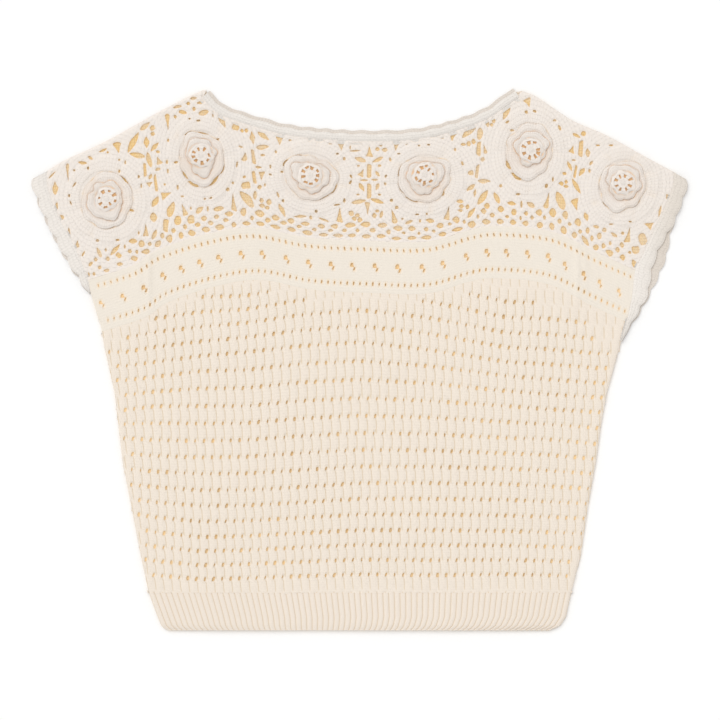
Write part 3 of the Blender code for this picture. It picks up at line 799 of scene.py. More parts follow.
def make_band():
    """The band, its eyelets and its wall."""
    piece = new_grid("knit_band_front", BAND_COLUMNS, len(BAND_ROWS) - 1)
    rows = BAND_ROWS[::-1]
    tops = along(BASE, [i / BAND_COLUMNS for i in range(BAND_COLUMNS + 1)])
    corners, places = [], []
    for down in rows:
        for n, place in enumerate(band_row(tops, down)):
            corners.append([*place, 0.0])
            places.append((n * BAND_WALES / BAND_COLUMNS, -down / BAND_COURSE))
    row_of = {down: j for j, down in enumerate(rows)}
    gone, rims = [], set()

    def eyelet(left, low, wide, size, form):
        """Open one eyelet, two rows tall. Those near the sides are smaller."""
        if left < 2 or left + wide > BAND_COLUMNS - 2:
            return
        open_share = STEP * (0.72 + 0.28 * ease(0, 36, min(left, BAND_COLUMNS - left)))
        gone.extend(open_eyelet(corners, BAND_COLUMNS, left, low, wide, 2,
                                form.half_width * size * open_share,
                                form.half_height * size * open_share, form.lean))
        for i in range(left, left + wide + 1):
            for j in range(low, low + 3):
                rims.add(j * (BAND_COLUMNS + 1) + i)

    for start in range(1, BAND_COLUMNS, EYELET_EVERY):
        eyelet(start, row_of[UPPER_ROW], 1, random.uniform(0.8, 1.1), UPPER_EYELET)
        eyelet(start, row_of[LOWER_ROW], 1, random.uniform(0.7, 1.1), LOWER_EYELET)
    lane = band_row(tops, PAIR_LANE)
    for across in PAIRS:
        start = min(range(len(lane)), key=lambda n: abs(lane[n].x - spot(across, 0).x)) - 1
        size = random.uniform(0.9, 1.1)
        low = LOW_PAIR_ROW if across > LOW_PAIRS_FROM else PAIR_ROW
        eyelet(start, row_of[low], 2, size, BROAD_EYELET)
        eyelet(start + 2, row_of[low + PAIR_DROP], 1, size, NARROW_EYELET)
    sunk = [RIM_SINK if n in rims else 0.0 for n in range(len(corners))]
    for corner, sink in zip(corners, sunk):
        corner[2] = lie(corner[0], corner[1]) - sink
    # The rims' sink doubles as their painted shade.
    shape_grid(piece, corners, places, sunk)
    delete_faces(piece, set(gone))
    thicken(piece, KNIT_WALL)
    return piece


band = make_band()
BAND_FOOT = band_row(BASE, BAND_ROWS[-1])

# %% [markdown]
# ## The pointelle columns
#
# The rest of the body is pointelle: upright columns of small leaning eyelets, with a shallow
# furrow from each one down to the next. One stitch repeat is a block of six by six faces. The
# cloth isn't straight on the table: its columns fan out a little towards the armholes, and its
# rows rise and sag across the front. A small table says how low nine of the rows lie at ten
# places, the rows between follow from it, and the grid's corners that would leave the body are
# drawn back to its edge.

# %% Place a stitch repeat on the body
COLUMN_LINES = (0.0, 0.17, 0.33, 0.5, 0.67, 0.83)
ROW_LINES = (0.0, 0.2, 0.37, 0.5, 0.63, 0.8)
FIRST_COLUMN, LAST_COLUMN = -30, 31
LAST_ROW = 22
FAN_TOP, FAN_FOOT = (310, 367, 9.15), (575, 342.9, 8.6)   # how low, column 0's place, pitch
FURROW = 0.67                     # where in a repeat the furrow runs
EYELET_WIDTH, EYELET_HEIGHT = 2.5, 4.2   # steps
BAND_LAP = 0.4                    # mm that the columns reach under the band
PLAIN_START = 2.5                 # mm below the band before the first eyelet
PLAIN_SIDE, PLAIN_FOOT = 0.4, 0.5   # mm inside the sides and above the hem
TOP_ROWS = {                      # topmost rows, and the stretches across that have eyelets
    16: ((127, 600),), 17: ((140, 312), (419, 585)), 18: ((198, 276), (465, 540)),
}
RIB_RISE_BETWEEN = 0.3            # mm that the cloth rises from furrow to furrow
FURROW_SINK, EYELET_SINK = 0.25, 0.25   # mm
EYELET_SHADE = 0.2                 # how much shade is painted on an eyelet's rim, from 0 to 1
ACROSS_MARKS = (125, 155, 200, 245, 300, 360, 430, 507, 545, 597)
ROW_MARKS = (                     # a row, counted from the lowest, and its height at each mark
    (0, (571, 575, 579, 578, 576, 574, 575, 574, 575, 577)),
    (3, (526, 532, 537, 536, 533, 530, 530, 531, 532, 534)),
    (6, (484, 487, 490, 490, 487, 483, 483, 484, 486, 489)),
    (9, (438, 440, 441, 440, 436, 433, 434, 438, 439, 444)),
    (11, (410, 406, 406, 406, 401, 398, 401, 406, 409, 412)),
    (13, (380, 377, 371, 370, 364, 361, 366, 376, 379, 383)),
    (14, (366, 362, 356, 352, 346, 342, 350, 362, 364, 368)),
    (16, (338, 332, 327, 323, 315, 310, 318, 333, 334, 339)),
    (18, (312, 305, 297, 296, 286, 280, 286, 302, 303, 309)),
)


def between(marks, values, at):
    """The value at a place between two marks, level beyond the last ones."""
    for a, b, low, high in zip(marks, marks[1:], values, values[1:]):
        if at <= b:
            return low + (high - low) * max(at - a, 0) / (b - a)
    return values[-1]


def row_height(x, row):
    """How low a row lies at a place across, on the measuring grid."""
    index = 1
    while index < len(ROW_MARKS) - 1 and row > ROW_MARKS[index][0]:
        index += 1
    (first, lows), (last, highs) = ROW_MARKS[index - 1], ROW_MARKS[index]
    start, end = between(ACROSS_MARKS, lows, x), between(ACROSS_MARKS, highs, x)
    return start + (end - start) * (row - first) / (last - first)


def repeat_place(column, row):
    """Where a repeat's column and row cross, on the measuring grid, found in three rounds."""
    (high, top_start, top_pitch), (low, foot_start, foot_pitch) = FAN_TOP, FAN_FOOT
    x, y = 355 + 9.0 * column, 0.0
    for _ in range(3):
        y = row_height(x, row - 1)
        down = (y - high) / (low - high)
        x = (top_start + top_pitch * column) * (1 - down) + (foot_start + foot_pitch * column) * down
    return x, y


def has_eyelet(column, row):
    """Whether a repeat has its eyelet. The topmost rows have them over some stretches only."""
    across = repeat_place(column, row)[0]
    return row - 1 < min(TOP_ROWS) or any(
        start < across < end for start, end in TOP_ROWS.get(row - 1, ()))


print("column 0 runs from", repeat_place(0, 17), "to", repeat_place(0, 1))


# %% Knit the columns
def make_columns():
    """The pointelle part of the front."""
    us = [c + u for c in range(FIRST_COLUMN, LAST_COLUMN) for u in COLUMN_LINES]
    vs = [r + v for r in range(0, LAST_ROW) for v in ROW_LINES]
    columns, rows = len(us) - 1, len(vs) - 1
    piece = new_grid("pointelle_front", columns, rows)
    corners, places, inside, drawn_back = [], [], [], []
    for v in vs:
        for u in us:
            x, y = spot(*repeat_place(u - 0.5, v - 0.5))
            top = height_on(BAND_FOOT, x) + BAND_LAP
            left, right = side_at(y, 1), side_at(y, 2)
            inside.append(left + PLAIN_SIDE < x < right - PLAIN_SIDE
                          and HEM_LINE + PLAIN_FOOT < y < top - PLAIN_START)
            drawn_back.append((y >= top) - (y <= HEM_LINE) or 2 * (x >= right) - 2 * (x <= left))
            y = min(max(y, HEM_LINE), top)
            x = min(max(x, side_at(y, 1)), side_at(y, 2))
            corners.append([x, y, 0.0])
            places.append((u, v))
    gone, rims = [], {}
    per_column, per_row = len(COLUMN_LINES), len(ROW_LINES)
    for c in range(FIRST_COLUMN, LAST_COLUMN - 1):
        for r in range(1, LAST_ROW):
            left, low = (c - FIRST_COLUMN) * per_column + 2, r * per_row + 2
            ring = [j * (columns + 1) + i for i in (left, left + 2) for j in (low - 1, low + 3)]
            if not all(inside[n] for n in ring) or not has_eyelet(c, r):
                continue
            size = random.uniform(0.5, 1.2)
            lean = random.uniform(0.05, 0.34)
            gone.extend(open_eyelet(corners, columns, left, low, 2, 2,
                                    EYELET_WIDTH / 2 * STEP * size,
                                    EYELET_HEIGHT / 2 * STEP * sqrt(size), lean))
            for i in range(left, left + 3):
                for j in range(low, low + 3):
                    rims[j * (columns + 1) + i] = 1.0
    hollows = []
    for n, corner in enumerate(corners):
        u, v = places[n]
        cell_u, cell_v = u - floor(u), v - floor(v)
        rise = RIB_RISE_BETWEEN * sin(pi * ((cell_u - FURROW) % 1.0)) - 0.15
        furrow = 1.0 if abs(cell_u - FURROW) < 0.01 else 0.0
        below = ease(0.52, 0.60, cell_v) if cell_v > 0.5 else ease(0.40, 0.30, cell_v)
        rise -= FURROW_SINK * furrow * (0.3 + 0.7 * below)
        rim = rims.get(n, 0.0)
        room = height_on(BAND_FOOT, corner[0]) + BAND_LAP - corner[1]
        rise = rise * ease(0.0, 5.0, room) - 0.15 * (1 - ease(0.0, 2.0, room))
        corner[2] = lie(corner[0], corner[1]) + rise - EYELET_SINK * rim
        hollows.append(EYELET_SHADE * rim)
    shape_grid(piece, corners, places, hollows)
    flat = {face.index for face in piece.data.polygons if face.area < 2e-9
            or len({drawn_back[n] for n in face.vertices} | {0}) == 2
            and all(drawn_back[n] for n in face.vertices)}
    delete_faces(piece, set(gone) | flat)
    merge_corners(piece)
    thicken(piece, KNIT_WALL)
    return piece


columns_front = make_columns()
print("pointelle:", triangles(columns_front), "triangles, band:", triangles(band))

# %% [markdown]
# ## The ribbed hem
#
# Rib knitting alternates a raised and a sunken wale. Seen from above it is a comb of soft ridges
# with thin furrows. The ridges are a rounded profile repeated over a grid, and they draw together
# towards the sides, as the real hem does where it pulls in.

# %% Knit the hem
HEM_RIBS, HEM_ROWS, HEM_COURSES = 74, 16, 14
RIB_PROFILE = ((0.0, 0.0), (0.08, 0.35), (0.2, 0.75), (0.36, 0.97), (0.5, 1.0), (0.64, 0.97),
               (0.8, 0.75), (0.92, 0.35))
RIB_RISE = 0.65                   # mm
HEM_DROP = 0.7                    # mm that its last rows bend down
HEM_WALL = 1.6


def make_hem(name):
    """The front's hem, with ridges over the height that the front lies at."""
    across = [n + share for n in range(HEM_RIBS) for share, _ in RIB_PROFILE] + [HEM_RIBS]
    lift = [value for _ in range(HEM_RIBS) for _, value in RIB_PROFILE] + [0.0]
    downs = [n / HEM_ROWS for n in range(HEM_ROWS + 1)]
    piece = new_grid(name, len(across) - 1, len(downs) - 1)
    corners, places, hollows = [], [], []
    for down in downs[::-1]:
        y = HEM_LINE - (HEM_LINE - HEM_END) * down
        left, right = side_at(y, 1), side_at(y, 2)
        for rib, up in zip(across, lift):
            x = left + (right - left) * rib / HEM_RIBS
            edge = HEM_DROP * ease(0.86, 1.0, down)
            corners.append([x, y, lie(x, y) + RIB_RISE * (up - 0.55) - edge])
            places.append((rib * 2, down * HEM_COURSES))
            # Painted shade in the furrows between the ridges.
            hollows.append(0.5 * (1 - up) ** 2)
    shape_grid(piece, corners, places, hollows)
    thicken(piece, HEM_WALL)
    return piece


hem = make_hem("rib_hem_front")
print("hem:", triangles(hem), "triangles")

# %% Finish the front's knitting
finish_piece(band, BAND_KNIT, "knit_cotton", "front_body")
finish_piece(columns_front, KNIT, "knit_cotton", "front_body")
finish_piece(hem, RIB_KNIT, "rib_cotton", "front_hem_rib")


# %% [markdown]
# ## The back
#
# The back rests face down and only its inside shows through the holes of the front, ochre and
# dim: the shade that it lies in under the front is painted into its colour. Its pieces are plain
# shells. They follow the same outlines, a little narrower than the front where that folds over them.

# %% Knit the back
BACK_TOP = 2.3
BACK_LAP = 3.0                    # mm that one back piece reaches under the next
BACK_INSET = 1.6                  # mm that it is narrower than the front at each side
BACK_WALL = 1.3
BACK_WALE, BACK_COURSE = 2.2, 2.6   # mm that a stitch is wide and tall
BODY_SHADE, HEM_SHADE = 0.85, 0.5   # how much shade is painted on each, from 0 to 1


def make_back_panel(name, columns, rows, top_line, low_line, tone):
    """A plain panel between two lines, each given as a function of the share across."""
    piece = new_grid(name, columns, rows)
    corners, places = [], []
    for j in range(rows + 1):
        for i in range(columns + 1):
            share, up = i / columns, j / rows
            low, high = low_line(share), top_line(share)
            y = low + (high - low) * up
            left, right = side_at(y, 1) + BACK_INSET, side_at(y, 2) - BACK_INSET
            x = left + (right - left) * share
            edge = min(x - left, right - x)
            corners.append([x, y, BACK_TOP - 0.5 * (1 - ease(0, 4, edge)) - 0.3 * ease(0.9, 1, up)])
            places.append((x / BACK_WALE, y / BACK_COURSE))
    # The whole panel gets the same painted shade, tone.
    shape_grid(piece, corners, places, [tone] * len(corners))
    thicken(piece, BACK_WALL)
    return piece


def base_height(share):
    """Height of the base line at a share of the way across."""
    return height_on(BASE, BASE[0].x + (BASE[-1].x - BASE[0].x) * share) + BACK_LAP


back_body = make_back_panel("knit_back", 120, 60, base_height, lambda share: HEM_LINE, BODY_SHADE)
back_hem = make_back_panel("rib_hem_back", 148, 8, lambda share: HEM_LINE, lambda share: HEM_END,
                           HEM_SHADE)
finish_piece(back_body, BACK, "knit_cotton_back", "back_body")
finish_piece(back_hem, BACK, "rib_cotton_back", "back_hem_rib")


# %% [markdown]
# ## The crocheted yoke: where its gaps are
#
# Each rose sits in a round of eight broad petals, the rounds are joined to their neighbours by
# little stars of chain, and a net of small meshes runs from them to the knitting. What the eye
# reads is the gaps, so the gaps are the pattern here. A table gives each one's shape, place, size
# and turn, in steps of the measuring grid, and the turn in degrees against the clock.

# %% Outlines of a gap, two units wide and high, and where each kind lies
GAP_OUTLINES = {
    "slot": ((-0.8, -1), (0.8, -1), (1, -0.5), (1, 0.5), (0.8, 1), (-0.8, 1), (-1, 0.5), (-1, -0.5)),
    "wedge": ((-1, -0.85), (0, -1), (1, -0.85), (0.55, 0.0), (0.08, 1), (-0.12, 1), (-0.5, 0.0)),
    "leaf": ((0, -1), (0.7, -0.55), (1, 0.05), (0.65, 0.6), (0, 1), (-0.7, 0.5), (-1, 0.0),
             (-0.65, -0.6)),
    "round": ((0.1, -1), (0.8, -0.7), (1, 0.1), (0.6, 0.85), (-0.2, 1), (-0.85, 0.65), (-1, -0.2),
              (-0.6, -0.85)),
    "mesh": ((-1, 0.1), (-0.45, -0.85), (0.35, -1), (1, -0.15), (0.5, 0.85), (-0.3, 1)),
}
ALSO_CALLED = {"dot": "round", "lattice": "mesh", "crescent": "leaf"}
GAPS = {
    "wedge": (
        (167.8, 121.5, 5, 14, 184), (118, 147.6, 8, 9, 190), (158.9, 161, 6, 7, 20),
        (149.3, 184.6, 6, 4.5, 180), (165.9, 194.8, 7, 9, -70), (184.4, 210.8, 5, 10, 20),
        (233.5, 203.1, 5, 16, 3), (245, 156.6, 6, 8, -8), (146, 231, 5, 11, 0),
        (280, 140, 8, 8.6, 180), (341.2, 145.8, 7.5, 9.6, 183), (369.3, 152.7, 7, 9, 0),
        (361.6, 173, 5.5, 7, -25), (261.5, 175.7, 6, 8, 178), (339.7, 215.9, 6, 13, -2),
        (393.5, 217, 6, 13, 12), (396.2, 145.6, 8, 8, 172), (424.7, 138, 3, 5, 180),
        (447.7, 213.3, 5, 13, -12), (527, 101.6, 10, 7, 80), (452.4, 136, 8.4, 8.2, 172),
        (571.8, 149.7, 6, 7, -18), (547, 201, 5, 13, -14), (628.2, 235.9, 6, 14, -12),
        (649.8, 226, 9, 6.5, 190), (667.2, 196.9, 5, 4.5, 150), (575.2, 204.4, 8, 11, 195),
        (484.8, 149.7, 4, 8, 10), (367.6, 208.2, 5, 11, 180), (77.6, 244.2, 5, 6, -5),
        (68, 172, 3.2, 14, 184),
    ),
    "leaf": (
        (222, 120.2, 5, 16, 24), (252.6, 138, 5, 11, 8), (133.3, 143.2, 6, 20, -27),
        (146.7, 142.5, 5.5, 11, 4), (155, 147, 4, 11, -42), (138.4, 155.3, 5, 15, 80),
        (149.3, 159.7, 5, 14, 14), (158.2, 169.3, 3, 5, -60), (150.6, 177, 3, 6, -20),
        (155, 202.5, 5.5, 12, -28), (171, 210.1, 7, 17, -18), (199.7, 210.1, 5, 10, -50),
        (218.8, 208.9, 5, 11, 98), (247.5, 200, 8, 20, 42), (255.2, 195.5, 3.5, 9, 4),
        (263.4, 136.1, 4.5, 14, 55), (262.1, 147.6, 5, 13, 96), (319.5, 140.6, 2.5, 7, 90),
        (360.3, 159.7, 4, 13, 72), (378.2, 159.7, 4, 11, -66), (377.5, 173.8, 3, 7, 38),
        (363.5, 180.4, 1.8, 8, 90), (374.4, 179.9, 2, 6, 90), (361.6, 187.2, 3.5, 10, 30),
        (377.5, 186.5, 4, 7, -25), (358.4, 201.6, 4.5, 15, -80), (377.5, 201.2, 4, 15, 72),
        (258.3, 167.4, 2.5, 6, 85), (281.9, 210, 4, 13, 25), (300.4, 216.5, 3, 11, 92),
        (324, 220, 2, 11, 70), (414.5, 140.4, 3, 10, 80), (435.6, 136, 2.5, 9, -72),
        (408.8, 222.2, 3, 8, -70), (429.8, 220.7, 4, 9, 80), (506.3, 110.7, 6, 16, -20),
        (469.4, 131.2, 6.5, 17, -46), (479.6, 133.4, 5.4, 12.5, -4), (484, 181.2, 4.5, 11, 88),
        (470.7, 187.8, 4, 9, -50), (474.8, 192.8, 2.5, 8, -6), (482.8, 197, 6, 17, -34),
        (471, 213, 4, 11, -35), (496.4, 197.7, 5, 11, 26), (511.3, 203.5, 4, 9, 80),
        (531.2, 205.2, 5, 9, 60), (587.6, 153, 4, 9, 4), (569.4, 166.2, 3, 10, 22),
        (581.8, 172, 4.5, 9, -35), (591, 163, 2.5, 5, -30), (576, 186, 5, 15, 30),
        (560.2, 201, 8.5, 18, 22), (586, 216.8, 4.5, 10, 18), (576, 135.6, 3, 8, 60),
        (559.4, 128, 2.5, 6, 20), (659.7, 211, 2.2, 11, -12), (99.5, 252.9, 3.5, 10, 25),
        (115.5, 249.7, 4, 12, -40), (69.5, 233, 2, 11, 6), (614, 235, 3.5, 7, 55),
        (57, 206, 2.5, 8, 0), (154.4, 235, 4, 10, -22), (55.5, 188.5, 5, 12, 3),
        (604.2, 230, 4, 5, 20), (595.9, 226.8, 3, 6, 75), (82.5, 163, 3, 9, 84),
        (90.5, 158, 3, 5, 60), (103, 150.5, 2.4, 9, -64), (111, 137, 2, 10, -60),
        (127, 128.6, 2, 9, -62), (144.8, 126.6, 5, 11, -50), (69.7, 232, 1.5, 11, 5),
        (52, 175.5, 1.6, 9, -45), (91, 264, 3, 6, -40), (74.5, 185, 1.6, 6, -35),
        (83.5, 254, 1.8, 6, -30), (71, 203, 1.4, 5, 20),
    ),
    "slot": (
        (145.2, 170, 2.5, 11, 2), (155.7, 182.7, 2.5, 14, 8), (165.9, 225.4, 5, 12, -4),
        (253.4, 156.8, 3, 13, 8), (254.2, 177, 3.4, 13, 8), (369.3, 170.6, 4, 12, 0),
        (369.3, 191, 4, 13, 0), (478.5, 148.8, 4, 13, -4), (476.8, 171.6, 3, 12, -8),
        (580.5, 148.8, 4, 14, -3), (575.2, 172, 2.5, 13, -10),
    ),
    "round": (
        (162.8, 115.4, 4.6, 6, -25), (183, 112.3, 8, 4, -20), (204, 112.6, 10, 5, 10),
        (178, 106.8, 8.5, 2.8, 10),
        (178, 221, 7, 9, 0), (191.4, 219.7, 6.5, 7.5, 0), (246, 185.4, 9, 7, 0),
        (482.3, 159.6, 4, 4, 0), (470.7, 172.9, 5, 5, 0), (583.5, 133.9, 5, 5, 0),
        (642.3, 239.6, 8.5, 12.5, 12), (635.7, 250, 8, 8, 0),
    ),
    "lattice": (                  # small gaps between the strands that cross a larger one
        (377.5, 149.5, 3.5, 3, 0), (384.5, 150, 4.5, 3, 0), (381, 145.4, 2.5, 2.2, 0),
        (351.5, 213.5, 5, 4, -30), (357.5, 215.4, 4, 3, 0), (354.3, 218.6, 4, 3.4, 0),
        (360, 219.8, 4.5, 4.2, 0), (377, 211.2, 3.5, 2.5, 0), (381.4, 214.5, 3, 5, -20),
        (374.2, 215.8, 3.5, 4.5, 10), (376.4, 220.2, 4.5, 2.4, 0), (487.3, 123.6, 3.5, 5, 0),
        (493.5, 120.5, 3.5, 4, 0), (490, 117.6, 4, 2, 0), (491.6, 125, 3, 2.5, 0),
        (236, 127.5, 6, 5.5, 20), (242.3, 131, 3, 2.8, 0), (246.4, 130.8, 3, 3.4, 0),
        (261.5, 200.8, 3.8, 4.2, 0), (268.8, 202.3, 4, 5, 0), (262.2, 205.9, 4.4, 3.2, 0),
        (267.4, 207.8, 4, 3, 0), (459.8, 201.6, 5, 2.8, 0), (466.8, 201.8, 4.5, 3.5, 0),
        (461.5, 206.4, 3.8, 3.8, 0), (467.4, 207, 3.2, 4, 0), (460.4, 210.6, 4, 2.2, 0),
        (152.5, 128.3, 4.5, 4.5, 0), (152.7, 134, 3.5, 4, 0), (487, 206, 5, 4.5, 0),
        (483.4, 211, 4, 4.6, 0), (561.3, 183.7, 4.2, 3.6, 0), (565.8, 182, 2.6, 3, 0),
        (565.8, 186.4, 4, 2.6, 0), (153.6, 217.4, 5.5, 6.5, 0), (157.4, 223.7, 4, 4.4, 0),
        (463.2, 144.6, 4.6, 2.2, 0), (468.6, 143.6, 4, 4, 0), (473.4, 142, 3.4, 4.4, 0),
        (193.6, 98.5, 5.5, 2.4, 8), (200.4, 102.9, 6.5, 2.4, 8), (188.6, 103.8, 3, 2.4, 0),
        (194, 108.8, 2.8, 3.4, 0), (213, 114.5, 1.4, 4.4, 0), (189.6, 119, 2, 1.4, 0),
    ),
    "crescent": (                 # beside a rose, where its petals lift off the round below
        (124, 179.8, 3, 10.5, 48), (108.6, 227.5, 1.6, 10, 97), (131.9, 210.4, 2.5, 5, 75),
        (129.5, 193, 2, 3, 0), (185.2, 173.5, 3.5, 11, 28), (193.8, 184.4, 4, 12, 62),
        (213.9, 180.6, 4.5, 12.5, -40), (222.3, 169.7, 2.5, 8.5, -22), (217.7, 139.7, 2, 4, -60),
        (285.5, 163, 3.5, 8, -35), (296.9, 156.9, 2, 8, -70), (333.7, 189.6, 3, 10, -35),
        (324, 196.2, 2.8, 11, -62), (400.2, 170.6, 2.6, 10, -18), (402.2, 189, 4, 12, 32),
        (411.9, 199.7, 2.5, 13, 68), (508.2, 165.1, 4, 9, 25), (516.8, 176.8, 4.5, 12, 55),
        (601, 188, 2.5, 4, 0), (635.9, 203.9, 1.6, 9, -50), (605.3, 204.3, 1.8, 5, 50),
        (356, 144.2, 11, 1.3, 2), (355, 151, 10, 1.4, 2), (350.2, 147.5, 1.4, 4, 0),
        (188, 133.4, 1.4, 9, -60), (203, 133.4, 1.3, 10, -102),
    ),
    "mesh": (
        (133, 241.4, 8, 5, 5), (141.6, 244, 6, 6, 0), (150, 244, 4, 4, 0), (158.2, 244, 5, 7, -35),
        (146, 251.8, 8, 5, 8), (137, 252, 3, 4, 0), (130, 251.6, 4, 4, 0), (118.7, 255.4, 6, 5, 0),
        (134.6, 258.6, 7, 5, 10), (169.7, 238.8, 6, 8, 0), (181.2, 235.6, 5, 6, 0),
        (162.7, 235.6, 4, 5, 0), (173.5, 230.5, 4, 5, 0), (185, 226.7, 4, 5, 0),
        (192, 233, 8, 5, 0), (197.8, 224.8, 5, 4, 0), (204, 218.4, 6, 5, 0), (206, 229.9, 7, 5, 0),
        (211, 222.9, 5, 4, 0), (216.9, 217, 5, 4, 0), (220, 227.3, 8, 5, 0), (225.8, 220.3, 5, 3.5, 0),
        (229, 214, 8, 5, 0), (234, 224.8, 5.5, 5, 0), (243.7, 212, 6, 7, 0), (246.9, 223.5, 8, 4, 0),
        (252, 218, 4, 4, 0), (260.2, 213.3, 9, 6, -8), (276, 217.8, 8, 5, -10), (267.9, 220.3, 5, 4, 0),
        (260.8, 223.8, 9, 4, -14), (283.8, 222.9, 6, 4, 0), (290.8, 221, 7, 5, -8),
        (276, 227, 10, 4, -14), (305.5, 223.9, 8, 4, 0), (299, 226.7, 5, 3, 0), (292, 229.6, 9, 3.5, -12),
        (308, 232.8, 10, 4, -10), (321.4, 226.3, 7, 4, 0), (314.4, 229.6, 5, 3, 0),
        (323.3, 235, 8, 3, 0), (334.8, 226.3, 7, 4.5, 0), (330.4, 230.5, 5, 3, 0),
        (338, 235.6, 9, 3.5, 0), (350, 225.4, 11, 4.5, 0), (344.4, 230.5, 5, 3, 0),
        (352, 235.6, 8, 3.5, 0), (366, 224.8, 10, 5, 0), (357.8, 230.5, 4, 4, 0),
        (366.7, 236.3, 9, 4, 0), (382, 225.4, 10, 4.5, 0), (373, 230.5, 6, 4, 0),
        (380.7, 236.3, 9, 3.5, 0), (397.3, 228.4, 9, 4.5, 0), (388.4, 231.8, 5, 4.5, 0),
        (396.7, 238.6, 9, 3.5, 0), (412, 228.6, 7, 5, 0), (403.7, 233, 4, 2.4, 0),
        (411.4, 238.2, 9, 3.2, 4), (426, 229.3, 5, 4, 0), (419, 233.7, 3, 3, 0),
        (426.7, 237.6, 10, 3.5, 6), (440, 226, 8, 5, 10), (433.7, 231.2, 4, 3, 0),
        (442.6, 234, 8, 4, 12), (455.8, 220, 7, 6, 0), (457.4, 229.3, 10, 3.6, 14),
        (449.5, 224, 4, 3, 0), (471.5, 224.3, 7, 6, 0), (464, 221.8, 3, 4, 0), (478, 216.8, 3, 4, 0),
        (486.4, 221.8, 8, 5, 0), (492.2, 215.2, 5, 5, 0), (499.7, 221.8, 7, 5, 0),
        (500.5, 209.4, 6, 6, 0), (507, 217, 4, 3, 0), (513, 222.6, 6, 5, 0), (513.8, 212.7, 6, 6, 0),
        (520.4, 218.5, 2.5, 4, 0), (525.4, 223.4, 6, 5, 0), (526, 213.5, 4, 4, 0),
        (532, 217.6, 4, 4, 0), (538.7, 212.7, 7, 6, 0), (539.5, 225.2, 6, 5.2, 0), (544.5, 217.6, 3, 4, 0),
        (551.4, 226, 5, 7, 10), (552.4, 212.7, 7, 8, 0), (559.4, 221, 4, 5, 0), (563.5, 230, 6, 7, 15),
        (565.2, 215, 6, 8, 0), (569.4, 224.3, 4, 4, 0), (574.3, 235, 5, 6, 0), (577.6, 222.6, 6, 7, 10),
        (580, 231.7, 4, 4, 0), (585, 240.9, 4, 10, 28), (587.6, 230.9, 4, 6, 0),
        (591.7, 238.4, 3, 5, 0), (595.9, 247.5, 6, 5, -10), (599.2, 235.9, 5, 6, 0),
        (603.3, 245.8, 4, 5, 0), (609.5, 253.3, 8, 5, -30), (610, 243.3, 3, 4, 0),
        (617.4, 250, 4, 5, 0), (621.6, 245, 4, 5, 0), (622.4, 257.4, 5, 6, 0), (634, 264, 5, 8, 15),
        (639.8, 259, 3, 8, 5), (629, 244.5, 3, 4, 0), (629.5, 252.5, 3, 3, 0), (86, 251.6, 4, 6, 0),
        (106, 250, 2, 4, 0), (125, 246.5, 2.5, 4, 0), (97.6, 240.7, 3.5, 2.5, 0),
        (118, 240, 4, 2, 0), (139, 233, 2, 3, 0), (96, 259.5, 4, 4, 0), (108, 259, 4, 4, 0),
        (120, 264, 6, 3.5, 0), (107, 270.5, 6, 3.2, 8), (62, 217.6, 5, 4, 0), (622.4, 233.4, 3, 3, 0),
        (100, 267.5, 4, 4, 0), (94.2, 274, 3, 3, 0), (89, 274.6, 2.6, 4, 0), (44.5, 177, 3, 4, 0),
    ),
    "dot": (
        (175.4, 117, 3, 3, 0), (198.4, 120.8, 4, 2, 0), (158.2, 152, 4, 3, 0), (208, 208.9, 2, 5, 0),
        (290, 140.4, 3, 1.5, 0), (310, 140, 3.5, 2.5, 0), (330.4, 143.8, 3, 1.5, 0),
        (358.4, 166, 3, 1.6, 0), (379.5, 166, 3, 2.5, 0), (358, 194.8, 3, 1.6, 0),
        (379.5, 194.8, 3, 2, 0), (337.4, 154, 3, 1.5, 0), (344.4, 159, 2.5, 3, 0),
        (398.6, 154, 3, 1.5, 0), (390.3, 159.7, 2, 4, 0), (351, 176.5, 2, 4, 30),
        (350.5, 182.5, 2, 4, -30), (385.8, 176.3, 2, 3, -20), (385.2, 184, 2, 3, 20),
        (276, 152, 2, 3, 0), (270.4, 166.8, 1.6, 4, 0), (270.4, 174.7, 3, 2, 0),
        (281.9, 171.9, 2.5, 2, 0), (262.8, 155.3, 4, 2, 0), (259.6, 187.2, 4, 4, 0),
        (265, 185, 1.5, 3, 0), (278, 194.8, 1.8, 6, 25), (283.2, 200.8, 2.5, 3, 0),
        (311, 217.8, 3, 4, 0), (316.3, 211.4, 3, 3, 0), (344.4, 200.6, 2.5, 4, 0),
        (336.7, 205, 6, 1.5, 8), (391.6, 200.6, 3, 3, 0), (396.7, 207.6, 4, 3, 0),
        (442, 138, 3, 1.5, 0), (419, 145.7, 2, 1.5, 0), (428.6, 145, 3, 1.5, 0),
        (406.5, 144.2, 2, 1.4, 0), (402.4, 219, 2, 2, 0), (417, 214.6, 4, 1.5, 0),
        (426.7, 214, 2, 2, 0), (420, 221, 2, 3, 0), (442.6, 193.5, 4, 5, 0), (514.6, 95.8, 2, 2, 0),
        (518, 100.7, 4, 2, 0), (507.2, 122.3, 4, 2.2, 35), (512, 130.6, 4, 2, 0), (455, 149.7, 2.5, 3, 0),
        (462.4, 163.7, 2, 4, 20), (500.5, 186, 3, 3, 0), (518, 194.4, 4, 2, 0), (521.3, 204.4, 2, 6, 0),
        (573.5, 160.4, 4, 1.6, 0), (589.3, 170.9, 2, 4, 0), (564.4, 173.7, 3.5, 3, 0),
        (546, 186, 3, 4, 0), (552.8, 179.5, 1.5, 4, 0), (554.4, 120.6, 3, 2, 0), (526.2, 112.3, 3, 3, 0),
        (534.5, 111.5, 4, 2.6, -35), (610.8, 145.5, 4, 1.6, 0), (597.5, 145.5, 4, 1.5, 0),
        (630, 221.8, 3, 1.5, 0), (610.8, 224.3, 4, 1.5, 0), (88.5, 168.5, 2, 3, 0),
        (74.5, 170.5, 2, 2, 0), (108, 152.5, 2.5, 2, 0), (119.5, 160, 2, 2, 0), (125.5, 162.5, 1.5, 4, 0),
